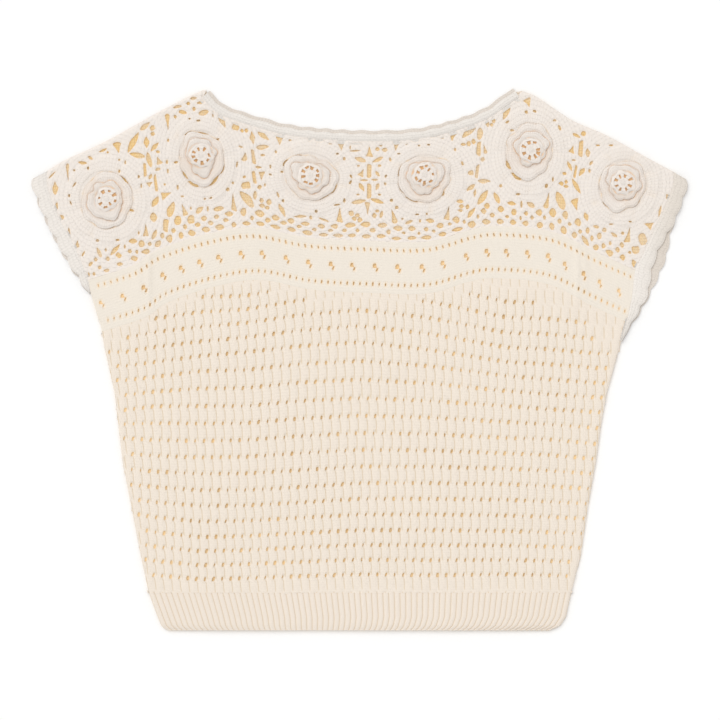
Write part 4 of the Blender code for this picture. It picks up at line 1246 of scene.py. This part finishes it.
        (119.5, 171.5, 2, 3, 0), (139, 176.8, 2, 3, 0), (141.5, 186, 1.5, 5, 0), (69.5, 196, 2, 3, 0),
        (74.5, 185, 2, 4, -30), (89, 167.5, 2, 3, 0), (165, 184.5, 2, 2, 0), (167, 162, 2, 4, 0),
        (176, 162.5, 4, 2, 20), (168, 171, 1.6, 4, 0), (168.3, 140.6, 1.8, 3, 0), (178, 187.5, 2, 5, 0),
        (182.5, 196.5, 3, 2, 0), (191, 208.5, 1.6, 3, 0), (228, 189.5, 3.5, 3, 0), (233, 183, 2, 2.5, 0),
        (244.5, 177, 3, 2.6, 0), (241, 147, 4, 1.6, -20), (217.5, 139.5, 3, 2, 0),
        (237, 164.5, 1.6, 5, -12), (205, 199, 2, 2, 0), (211, 198, 3, 1.6, 30),
    ),
}
print("gaps in the tables:", sum(len(rows) for rows in GAPS.values()))


# %% Draw one gap as a smooth ring
SPREAD, LATTICE_SPREAD = 1.06, 1.3   # how much larger than in the table a gap is drawn


def smooth_ring(points, parts):
    """A closed smooth curve through the points, with so many parts between two of them."""
    count = len(points)
    ring = []
    for n in range(count):
        a, b, c, d = (points[(n + k) % count] for k in (-1, 0, 1, 2))
        for part in range(parts):
            t = part / parts
            bend = 2 * a - 5 * b + 4 * c - d
            twist = 3 * b - a - 3 * c + d
            ring.append(0.5 * (2 * b + (c - a) * t + bend * t * t + twist * t ** 3))
    return ring


def gap_ring(kind, x, y, width, height, turn):
    """A gap's outline, anticlockwise, in mm."""
    outline = GAP_OUTLINES[ALSO_CALLED.get(kind, kind)]
    spin = Matrix.Rotation(radians(turn), 2)
    middle = spot(x, y)
    points = []
    spread = LATTICE_SPREAD if kind == "lattice" else SPREAD
    for a, b in outline:
        pull = random.uniform(0.8, 1.16) * spread * STEP / 2
        points.append(spin @ Vector((a * width * pull, b * height * pull)) + middle)
    return smooth_ring(points, 1 if kind == "dot" or max(width, height) < 5 else 2)


print("points on a slot:", len(gap_ring("slot", 369, 170, 4, 12, 0)))

# %% [markdown]
# ## The crocheted yoke: its cloth
#
# No grid can follow gaps of so many shapes. Instead, the yoke's outline, the rings of its gaps and
# a honeycomb of loose points go into a Delaunay triangulation, which gives even triangles that
# keep every ring. Those inside a ring are left out. The cloth sinks towards each ring, so that
# what stays between two gaps is rounded like a cord, and it rises in the eight broad petals round
# each rose.

# %% The roses' places and forms
ROSES = (   # name, across, up, width, height, turn: as the solids have them
    ("rose_1_left_sleeve", -240.8, 153.0, 50, 54, 20),
    ("rose_2_left_shoulder", -150.6, 191.4, 42, 54, 8),
    ("rose_3_left_chest", -47.1, 173.9, 53, 45, -14),
    ("rose_4_right_chest", 60.9, 172.0, 50, 46, 10),
    ("rose_5_right_shoulder", 160.5, 198.0, 45, 55, 0),
    ("rose_6_right_sleeve", 249.3, 165.7, 45, 50, -18),
)
RoseForm = namedtuple("RoseForm", "outer inner hub gaps")
ROSE_FORMS = {   # petals' reach in mm at angles in degrees, hub's place, angles of the hub's gaps
    "rose_1_left_sleeve": RoseForm(
        ((0, 24.7), (45, 25.2), (90, 26.8), (135, 23.3), (180, 23.6), (222, 27), (236, 25.4),
         (255, 27.5), (290, 26.8), (337, 23.6)),
        ((5, 14.3), (35, 16), (70, 18.5), (100, 16.2), (128, 18.4), (148, 14.8), (170, 18.2),
         (215, 19.3), (250, 18.3), (275, 19), (293, 21.3), (318, 16.2), (345, 15.2)),
        (0.2, 0.9), (27, 71, 119, 174, 219, 263, 303, 345)),
    "rose_2_left_shoulder": RoseForm(
        ((0, 20.4), (45, 23.5), (80, 23.2), (114, 28.2), (150, 22), (185, 20.5), (225, 21.5),
         (275, 26.1), (315, 21.4), (340, 22.3)),
        ((0, 11.5), (25, 16), (45, 15.4), (72, 18.7), (118, 20.8), (160, 15.5), (205, 10.7),
         (250, 15.2), (285, 18), (315, 12.6)),
        (-0.8, 3.7), (2, 59, 111, 156, 192, 227, 279, 325)),
    "rose_3_left_chest": RoseForm(
        ((0, 26.4), (45, 21.4), (68, 18.5), (100, 21.6), (148, 28.3), (175, 24.5), (215, 21),
         (270, 21.4), (315, 22.8), (340, 25)),
        ((12, 18.5), (45, 16.2), (78, 11.9), (112, 15), (146, 21.8), (170, 18), (200, 12.3),
         (215, 14.2), (250, 12.8), (278, 15.5), (315, 14.2), (345, 17)),
        (-0.2, 2.1), (33, 80, 114, 150, 189, 235, 272, 320, 358)),
    "rose_4_right_chest": RoseForm(
        ((5, 24.2), (36, 28.1), (75, 21.2), (115, 22.8), (148, 25.5), (200, 24.5), (240, 22.5),
         (264, 21.1), (290, 22.5), (335, 21.1)),
        ((0, 16.5), (34, 21.7), (70, 17), (100, 16.5), (136, 19), (165, 17.5), (205, 13.9),
         (230, 15), (280, 14), (318, 11.6), (345, 14.3)),
        (0.1, 4.6), (4, 51, 81, 113, 160, 204, 232, 267, 312)),
    "rose_5_right_shoulder": RoseForm(
        ((0, 21.2), (35, 24), (68, 28.4), (80, 26.8), (92, 28.2), (125, 23.2), (148, 24),
         (172, 21.4), (215, 23), (262, 27.2), (300, 23), (335, 20.5)),
        ((0, 15), (25, 20.2), (62, 20), (92, 19.7), (125, 16.6), (150, 17), (202, 9.5),
         (250, 14.2), (290, 11.4), (320, 13.5), (345, 14.8)),
        (1.5, 2.1), (3, 66, 108, 155, 205, 256, 301, 335)),
    "rose_6_right_sleeve": RoseForm(
        ((0, 21.9), (25, 22), (48, 25.8), (75, 24.6), (101, 22.4), (130, 24), (165, 23),
         (190, 21.6), (228, 24), (248, 26.5), (281, 21.2), (300, 21.5), (335, 19.7)),
        ((0, 17.2), (24, 16.7), (48, 19.7), (90, 19.6), (122, 21.8), (155, 17.5), (180, 13.4),
         (212, 12.8), (262, 14), (272, 12), (305, 14.2), (330, 13.3), (350, 16.2)),
        (-0.3, 3.5), (24, 74, 118, 160, 207, 247, 295, 335)),
}
print("hub gaps of each rose:", [len(form.gaps) for form in ROSE_FORMS.values()])

# %% Find a place on the rose nearest to it
SEGMENTS = 8                      # broad petals in a rose's square


def polar(x, y, rose):
    """Distance from a rose's middle as a share of its radius, and angle in turns."""
    _, across, up, width, height, turn = rose
    local = Matrix.Rotation(radians(-turn), 2) @ Vector((x - across, y - up))
    a, b = local.x / (width / 2), local.y / (height / 2)
    return hypot(a, b), (atan2(b, a) / (2 * pi)) % 1.0


def reach_at(knots, away):
    """How far a round of petals reaches in a direction, eased between the knots of its table."""
    angle = degrees(atan2(away.y, away.x)) % 360
    ring = [(knots[-1][0] - 360, knots[-1][1]), *knots, (knots[0][0] + 360, knots[0][1])]
    for (a, near), (b, far) in zip(ring, ring[1:]):
        if a <= angle <= b:
            return near + (far - near) * ease(a, b, angle)
    return knots[0][1]


def nearest_rose(x, y):
    """The rose whose square a place lies in, with its polar place."""
    best = min(ROSES, key=lambda rose: (x - rose[1]) ** 2 + (y - rose[2]) ** 2)
    return best, *polar(x, y, best)


def petal_round(share, angle):
    """How far a place is up on the round of eight broad petals, and how deep in its creases."""
    segment = (angle * SEGMENTS) % 1.0
    arch = sin(pi * segment) ** 0.45
    rim = 1.42 + 0.12 * arch
    band_rise = ease(0.98, 1.10, share) * (1 - ease(rim - 0.07, rim + 0.05, share))
    return band_rise * (0.35 + 0.65 * arch), band_rise * (1 - arch)


print("a petal rises", round(petal_round(1.2, 0.06)[0], 2), "of its full height")

# %% Height and outline of the yoke
NECK = curve_through(NECK_LINE, 120)
SHOULDERS = (curve_through(LEFT_SHOULDER, 40), curve_through(RIGHT_SHOULDER, 40)[::-1])


def shoulder_distance(x, y):
    """How far below the shoulder's fold a place lies, measured straight down."""
    line = SHOULDERS[0] if x < 0 else SHOULDERS[1]
    if not min(line[0].x, line[-1].x) <= x <= max(line[0].x, line[-1].x):
        return 99.0
    ordered = line if line[0].x < line[-1].x else line[::-1]
    return (height_on(ordered, x) - y) * 0.86


NECK_SEAM = shifted(NECK, -NECK_BACK_SHOW - NECK_BAND)
UNDER_EDGING = 2.6                # mm that the yoke reaches under the edgings


def under_edging(x, y):
    """0 where the yoke lies free and 1 where an edging covers it."""
    past = max(y - height_on(NECK_SEAM, x) if NECK_SEAM[0].x < x < NECK_SEAM[-1].x else -9.0,
               side_at(y, 1) - x, x - side_at(y, 2))
    return ease(-0.6, 0.8, past)


def yoke_lie(x, y):
    """Height of the yoke's face before its gaps and petals."""
    return YOKE_TOP + 0.5 * swell(x, y) - rolled(shoulder_distance(x, y))


def yoke_edge(lowered):
    """The yoke's outline, anticlockwise from the left end of its base line, its neck lowered."""
    base = curve_through(BASE_LINE, 330)
    right = shifted(curve_through(RIGHT_ARM_INNER, 90), -UNDER_EDGING)
    right = [p for p in right if base[-1].y + 1 < p.y < RIGHT_ARM_INNER[-1][1] - 3]
    left = shifted(curve_through(LEFT_ARM_INNER, 90), UNDER_EDGING)
    left = [p for p in left if base[0].y + 1 < p.y < LEFT_ARM_INNER[-1][1] - 3]
    neck = shifted(curve_through(NECK_LINE, 200), -lowered - NECK_BAND + UNDER_EDGING)[::-1]
    right_shoulder = curve_through(RIGHT_SHOULDER, 80)
    left_shoulder = curve_through(LEFT_SHOULDER, 80)[::-1]
    return base + right + right_shoulder + neck + left_shoulder + left[::-1]


print("points on the yoke's outline:", len(yoke_edge(0.0)))


# %% Choose the gaps that fit
BRIDGE = 0.55                     # least cloth between two gaps, in mm
BORDER = 1.1                      # and between a gap and the outline


def inside_ring(x, y, ring):
    """Whether a place lies in a closed ring."""
    crossings = 0
    for a, b in zip(ring, ring[1:] + ring[:1]):
        if (a.y > y) != (b.y > y) and x < a.x + (b.x - a.x) * (y - a.y) / (b.y - a.y):
            crossings += 1
    return crossings % 2 == 1


def near_tree(points):
    """A search tree over points on the flat garment."""
    tree = kdtree.KDTree(max(len(points), 1))
    for n, point in enumerate(points):
        tree.insert((*point, 0), n)
    tree.balance()
    return tree


def chosen_gaps(outline):
    """All gaps, leaving out those that would touch the outline or an earlier gap."""
    edge = near_tree(outline)
    wanted = []
    for kind in ("leaf", "wedge", "slot", "lattice", "round", "mesh", "crescent", "dot"):
        wanted += [gap_ring(kind, *row) for row in GAPS[kind]]
    kept, circles, dropped = [], [], 0
    for ring in wanted:
        middle = sum(ring, Vector((0, 0))) / len(ring)
        reach = max((point - middle).length for point in ring)
        ok = inside_ring(middle.x, middle.y, outline)
        ok = ok and all(edge.find((*point, 0))[2] > BORDER for point in ring)
        for other, (centre, far) in zip(kept, circles):
            if not ok or (centre - middle).length > reach + far + BRIDGE:
                continue
            if any((a - b).length < BRIDGE for a in ring for b in other):
                ok = False
            elif inside_ring(middle.x, middle.y, other):
                ok = False
        if ok:
            kept.append(ring)
            circles.append((middle, reach))
        else:
            dropped += 1
    print("gaps kept:", len(kept), "left out:", dropped)
    return kept


YOKE_OUTLINE = yoke_edge(NECK_BACK_SHOW)
YOKE_GAPS = chosen_gaps(YOKE_OUTLINE)


# %% Triangulate the cloth between the gaps
def crochet_cloth(name, outline, gaps, pitch, height, stitches):
    """A sheet of crochet. height gives a corner's height and hollow, stitches its UV place."""
    rings = [outline, *gaps]
    points, edges, faces = [], [], []
    for ring in rings:
        first = len(points)
        points += ring
        faces.append(list(range(first, len(points))))
    rim, gap_rim = near_tree(points), near_tree(points[len(outline):])
    lows = [min(p[axis] for p in outline) for axis in (0, 1)]
    highs = [max(p[axis] for p in outline) for axis in (0, 1)]
    tall = pitch * sqrt(3) / 2
    row, y = 0, lows[1]
    while y < highs[1]:
        x = lows[0] + (pitch / 2 if row % 2 else 0.0)
        while x < highs[0]:
            if rim.find((x, y, 0))[2] > 0.55 * pitch:
                points.append(Vector((x, y)))
            x += pitch
        y += tall
        row += 1
    made = geometry.delaunay_2d_cdt(points, edges, faces, 1, 1e-7)
    flat, cells, sources = made[0], made[2], made[5]
    kept = [cell for cell, source in zip(cells, sources) if 0 in source and len(source) == 1]
    used = sorted({n for face in kept for n in face})
    renumbered = {n: k for k, n in enumerate(used)}
    mesh = bpy.data.meshes.new(name)
    corners, hollows = [], []
    for n in used:
        x, y = flat[n]
        z, hollow = height(x, y, gap_rim.find((x, y, 0))[2] if gaps else 99.0)
        corners.append(world(x, y, z))
        hollows.append(hollow)
    mesh.from_pydata(corners, [], [[renumbered[n] for n in face] for face in kept])
    piece = bpy.data.objects.new(name, mesh)
    bpy.context.collection.objects.link(piece)
    layer = mesh.uv_layers.new(name="UVMap")
    places = []
    for face in kept:
        middle = sum((flat[n] for n in face), Vector((0, 0))) / len(face)
        for n in face:
            places.extend(stitches(middle, flat[n]))
    layer.data.foreach_set("uv", places)
    keep_hollows(mesh, hollows)
    mesh.update()
    return piece


print("points on the gaps' rings:", sum(len(ring) for ring in YOKE_GAPS))

# %% Crochet the front yoke
YOKE_PITCH = 1.2                  # mm between the honeycomb's points
YOKE_WALL = 1.4                   # mm, and so are the next four
PETAL_RISE, CREASE_SINK = 1.1, 0.35
GAP_SINK = 0.7                    # how far the cloth rounds down towards a gap
TUCK_SINK = 0.9                   # how far it ducks under an edging
ABOVE_BACK = 0.15                 # least height over the back
ROSE_POSTS, ROSE_ROUNDS = 72, 6.5   # posts round a rose, and rounds from its middle to its rim


def patchy(x, y, size, start=0.0):
    """Soft patches from 0 to 1, so that a line along them comes and goes."""
    return ease(-0.15, 0.4, noise.noise(Vector((x / size, y / size, start))))


def yoke_height(x, y, edge):
    """Height and hollow of one corner of the front yoke, so far from the nearest gap."""
    rose, share, angle = nearest_rose(x, y)
    rise, crease = petal_round(share, angle)
    cord = ease(0.0, 1.7, edge)
    covered = under_edging(x, y)
    z = yoke_lie(x, y) + (PETAL_RISE * rise - CREASE_SINK * crease) * (1 - covered)
    z -= GAP_SINK * (1 - cord)
    away = Vector((x - rose[1], y - rose[2]))
    beside = away.length - reach_at(ROSE_FORMS[rose[0]].outer, away)
    shadow = 0.2 * (1 - ease(0.0, 0.9, edge)) + 0.12 * crease * patchy(x, y, 9, 5.0)
    shadow += (0.04 + 0.4 * patchy(x, y, 7, 2.0)) * (1 - ease(0.0, 1.5, beside))
    return max(z - TUCK_SINK * covered, BACK_TOP + ABOVE_BACK), shadow


def rose_stitches(middle, corner):
    """A corner's place along and across the rounds of the rose that its face belongs to."""
    rose, _, near = nearest_rose(*middle)
    share, angle = polar(*corner, rose)
    return (angle + round(near - angle)) * ROSE_POSTS, share * ROSE_ROUNDS


yoke = crochet_cloth("crochet_yoke_front", YOKE_OUTLINE, YOKE_GAPS, YOKE_PITCH, yoke_height,
                     rose_stitches)
thicken(yoke, YOKE_WALL)
finish_piece(yoke, CROCHET, "crochet_cotton", "front_yoke")

# %% [markdown]
# ## The back of the yoke
#
# Through the larger gaps the back's crochet shows as a warm, patchy ground: shade painted over its
# cream, coming and going in patches. The back yoke is a closed, plain sheet like the rest of the
# back. Its painted shade is deepest inside the sleeves, and pale at the shoulders, where it comes
# out of the front's shade.

# %% Crochet the back yoke
BACK_YOKE_PITCH = 4.0             # mm


def back_lie(x, y, _):
    """The back lies level, and all but its shoulder gets the painted shade of the hollow behind the front.
    """
    inner = ease(0.5, 5.0, shoulder_distance(x, y)) * (1 - ease(249, 252, y))
    sleeve = ease(115, 180, abs(x)) * ease(110, 150, y)
    return BACK_TOP - 0.4 * (1 - inner), 0.15 + (0.5 + 0.14 * sleeve) * inner


back_yoke = crochet_cloth("crochet_yoke_back", yoke_edge(0.0), [], BACK_YOKE_PITCH, back_lie,
                          lambda middle, corner: (corner.x / BACK_WALE, corner.y / BACK_COURSE))
thicken(back_yoke, BACK_WALL)
finish_piece(back_yoke, BACK_CROCHET, "crochet_cotton_back", "back_yoke")


# %% [markdown]
# ## Roses
#
# A crocheted rose is worked from a hub outwards. Eight or nine spokes leave little openings round
# the hub, and two rounds of petals stand up behind each other with rolled, lobed lips. No two roses
# lie alike, so a table gives each one's reach. Each round is a grid bent into a ring: its inner
# row is tucked under the round before it, and its outer row is the lip.

# %% Measures of a rose
RING_PARTS = 120
ROSE_BASE = YOKE_TOP + 0.4        # mm, where the petals sit on the yoke
OUTER_LIP, INNER_LIP, HUB_LIP = 1.8, 3.4, 4.1   # mm above the base
HUB_ROWS = (0.0, 1.6, 3.0, 4.3, 5.5, 6.8, 8.0, 9.2, 10.2, 11.2, 11.9)   # mm from the middle
HUB_GAP_ROWS = (range(4, 7), range(3, 6), range(5, 7), range(4, 8))   # one is drawn for each gap
HUB_GAP = 12.5                    # degrees on each side of a gap's middle, before its own share
HUB_REACH = 11.4                  # mm, how far the hub covers the petals
PETAL_ROWS = (0, 0.12, 0.24, 0.36, 0.48, 0.58, 0.68, 0.76, 0.83, 0.89, 0.94, 0.98, 1.0)
PETAL_WALL = 1.1
PETAL_POSTS = 64                  # stitches round a round of petals
LIP_FROM = 0.83                   # the share of the way out where the lip starts to roll down
LOBES, LOBE_DEPTH = 9, 1.1        # small lobes on each round, and mm from a tip to its notch


# %% Work one round of a rose
def ring_layer(name, angles, rows, place, posts, skipped=()):
    """A grid bent into a closed ring. place gives a corner's place, hollow and stitches."""
    piece = new_grid(name, len(angles), len(rows) - 1)
    corners, places, hollows = [], [], []
    for row in rows:
        for angle in (*angles, angles[0]):
            corner, hollow = place(row, Vector((cos(radians(angle)), sin(radians(angle)))))
            corners.append(corner)
            hollows.append(hollow)
    for j, row in enumerate(rows):
        for i in range(len(angles) + 1):
            places.append((i / len(angles) * posts, j * 0.4))
    shape_grid(piece, corners, places, hollows)
    if skipped:
        delete_faces(piece, {j * len(angles) + i for i, j in skipped})
    merge_corners(piece, 0.00001)
    thicken(piece, PETAL_WALL)
    return piece


def lobed(knots, way):
    """A round's reach in a direction, with the small lobes of its petals, turned at random."""
    turn = LOBES / 2 * atan2(way.y, way.x) + knots[0][1]
    return reach_at(knots, way) + LOBE_DEPTH * (abs(sin(turn)) - 0.6)


def petal_layer(name, middle, knots, inside, start, base, lip, seed):
    """A round of petals from under the round inside it to its own rolled lip."""
    low, high = min(reach for _, reach in knots), max(reach for _, reach in knots)

    def place(t, way):
        reach = lobed(knots, way)
        covered = inside(way)
        radius = start + (reach - start) * t
        fullness = (reach - low) / (high - low)
        past = radius - covered
        climb = ease(-2.0, 0.55 * (reach - covered), past)
        ripple = 0.35 * noise.noise(Vector((3 * way.x + seed, 3 * way.y, 0.4)))
        rise = base + (lip - base) * climb + (0.5 * (fullness - 0.5) + ripple) * climb
        if t > LIP_FROM:
            rise -= (lip - base + 0.3) * 0.7 * ((t - LIP_FROM) / (1 - LIP_FROM)) ** 2
        x, y = middle + radius * way
        # Painted shade: a patchy line outside the lip of the round above, full where this round is tucked
        # under it, and a little more where the round reaches less far.
        line = (0.2 + 0.65 * patchy(x, y, 6, seed)) * (1 - ease(-0.8, 1.4, past))
        hollow = max(line, 1 - ease(-2.6, -1.0, past)) + 0.1 * (1 - fullness) ** 2
        return [x, y, ROSE_BASE + rise], min(hollow, 1.0)

    angles = [-360 * n / RING_PARTS for n in range(RING_PARTS)]
    return ring_layer(name, angles, PETAL_ROWS, place, PETAL_POSTS)


def hub_layer(name, middle, gaps):
    """The hub: a small disc, its spokes, and the ring that they reach."""
    angles = []
    for n, gap in enumerate(gaps):
        following = gaps[(n + 1) % len(gaps)] + (360 if n + 1 == len(gaps) else 0)
        half = HUB_GAP * random.uniform(0.6, 1.1)
        angles += [gap - half, gap - 0.35 * half, gap + 0.35 * half, gap + half,
                   (gap + following) / 2]
    skipped = [(len(angles) - 2 - (5 * n + k), j) for n in range(len(gaps))
               for rows in [random.choice(HUB_GAP_ROWS)] for k in range(3) for j in rows]

    def place(radius, way):
        button = 0.5 * (1 - ease(0.0, 3.6, radius))
        fall = 1.2 * ease(9.0, 11.9, radius)
        wave = 1 + 0.04 * sin(len(gaps) * atan2(way.y, way.x) + gaps[0]) * ease(9, 12, radius)
        wave += 0.2 * noise.noise(Vector((1.8 * way.x, 1.8 * way.y, middle.x))) * ease(2, 5, radius)
        return [*(middle + radius * wave * way), ROSE_BASE + HUB_LIP + button - fall], 0.0

    return ring_layer(name, angles[::-1], HUB_ROWS, place, len(gaps), skipped)


# %% Work the roses
def make_rose(name, across, up):
    """One rose: hub, inner petals and outer petals, as one piece."""
    form = ROSE_FORMS[name]
    middle, hub = Vector((across, up)), Vector((across, up)) + Vector(form.hub)

    def under_inner(way):
        return lobed(form.inner, way)

    def under_hub(way):
        return HUB_REACH + Vector(form.hub).dot(way)

    layers = [
        petal_layer(name + "_outer", middle, form.outer, under_inner, 6.0, 0.2, OUTER_LIP, across),
        petal_layer(name + "_inner", middle, form.inner, under_hub, 0.0, OUTER_LIP + 0.2, INNER_LIP,
                    up),
        hub_layer(name + "_hub", hub, form.gaps),
    ]
    only(layers[0])
    for layer in layers[1:]:
        layer.select_set(True)
    bpy.ops.object.join()
    rose = bpy.context.object
    rose.name = rose.data.name = name + "_petals"
    return finish_piece(rose, ROSE, "rose_cotton", name)


roses = [make_rose(name, across, up) for name, across, up, *_ in ROSES]

# %% [markdown]
# ## Edgings
#
# The neck and the armholes end in a band of close crochet. Round the armholes its outer edge is
# drawn out into small arches, and round the neck it only waves. Each edging is a strip between a
# plain seam and a scalloped outer line, rounded across, and a flat part of it is tucked under the
# yoke. The back's edgings lie under the front's and show as a narrow darker rim. The right sleeve's
# outer end is in shade.

# %% Crochet the edgings
SCALLOP_PITCH = 19.0              # mm from arch to arch
SCALLOP_STEPS = 14                # columns of faces in an arch
EDGING_ROWS = (                   # -1 to 0 is the tucked part, 0 the seam and 1 the outer line
    -1.0, -0.3, 0.0, 0.06, 0.14, 0.25, 0.4, 0.55, 0.7, 0.82, 0.91, 0.97, 1.0,
)
VALLEY_SINK = 0.25                # mm that the cloth lies lower between two arches
SLEEVE_TONE = 0.45                # how shaded the right sleeve's end is, from 0 to 1
FRONT_EDGING = dict(top=4.9, low=3.6, wall=1.3)
BACK_EDGING_FORM = dict(top=2.1, low=1.6, wall=1.2)


def make_edging(name, inner_line, outer_line, arched, depth, tuck, form):
    """A strip of shell edging. Both lines run so that the garment lies on their right."""
    length = sum((b - a).length for a, b in zip(outer_line, outer_line[1:]))
    arches = max(round(length / SCALLOP_PITCH), 1)
    columns = arches * SCALLOP_STEPS
    shares = [n / columns for n in range(columns + 1)]
    turns = [n / SCALLOP_STEPS for n in range(columns + 1)]
    if arched:
        phase = [abs(sin(pi * turn)) for turn in turns]
    else:
        phase = [0.6 + 0.4 * sin(2 * pi * turn + 1.5 * sin(turn)) for turn in turns]
    seam, inner = along(inner_line, shares), along(shifted(inner_line, -tuck), shares)
    outer = along(outer_line, shares)
    room = [min(1.0, 8 * share, 8 * (1 - share), (a - b).length / 8)
            for share, a, b in zip(shares, seam, outer)]
    outer = moved_aside(outer, [depth * (p - 0.6) * r for p, r in zip(phase, room)])
    piece = new_grid(name, columns, len(EDGING_ROWS) - 1)
    corners, places, hollows = [], [], []
    for across in EDGING_ROWS:
        rounded = sin(pi * across) ** 0.45 if 0 < across < 1 else 0.0
        for n, (a, b, c) in enumerate(zip(inner, seam, outer)):
            x, y = b.lerp(c, across) if across > 0 else b.lerp(a, -across)
            valley = (1 - phase[n]) * max(across, 0)
            z = form["low"] + (form["top"] - form["low"]) * rounded - VALLEY_SINK * valley
            corners.append([x, y, z])
            places.append((turns[n] * 7, across * 3))
            # Painted shade in the valleys between arches, and over the right sleeve's end.
            hollows.append(0.1 * valley ** 2 + SLEEVE_TONE * ease(262, 300, x))
    shape_grid(piece, corners, places, hollows)
    thicken(piece, form["wall"])
    return piece


NECK_FRONT = shifted(NECK, -NECK_BACK_SHOW)
LEFT_IN = curve_through(LEFT_ARM_INNER[LEFT_ARM_FROM:], 60)
RIGHT_IN = curve_through(RIGHT_ARM_FOOT + RIGHT_ARM_INNER, 60)[::-1]
LEFT_OUT = curve_through(LEFT_ARM_OUTER, 60)
RIGHT_OUT = curve_through(RIGHT_ARM_OUTER_FRONT, 60)[::-1]
RIGHT_BACK = curve_through(RIGHT_ARM_OUTER_BACK, 60)[::-1]
EDGINGS = (   # name, seam, outer line, the back's outer line, arches or waves, their depth, tuck
    ("neck_edging", shifted(NECK_FRONT, -NECK_BAND), NECK_FRONT, NECK, False, 1.3, 3.4),
    ("left_armhole_edging", LEFT_IN, LEFT_OUT, shifted(LEFT_OUT, 0.6), True, 3.0, 1.6),
    ("right_armhole_edging", RIGHT_IN, RIGHT_OUT, RIGHT_BACK, True, 2.0, 1.6),
)
edgings = []
for name, seam, outer, outer_back, arched, depth, tuck in EDGINGS:
    strip = make_edging(name + "_front_strip", seam, outer, arched, depth, tuck, FRONT_EDGING)
    edgings.append(finish_piece(strip, EDGING, "edging_cotton", name + "_front"))
    strip = make_edging(name + "_back_strip", seam, outer_back, arched, depth, tuck,
                        BACK_EDGING_FORM)
    edgings.append(finish_piece(strip, BACK_EDGING, "edging_cotton_back", name + "_back"))
print("edgings:", len(edgings))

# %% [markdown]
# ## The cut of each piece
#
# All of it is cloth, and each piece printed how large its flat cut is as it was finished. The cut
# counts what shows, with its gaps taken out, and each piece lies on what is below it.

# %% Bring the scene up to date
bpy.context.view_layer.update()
for axis in range(3):
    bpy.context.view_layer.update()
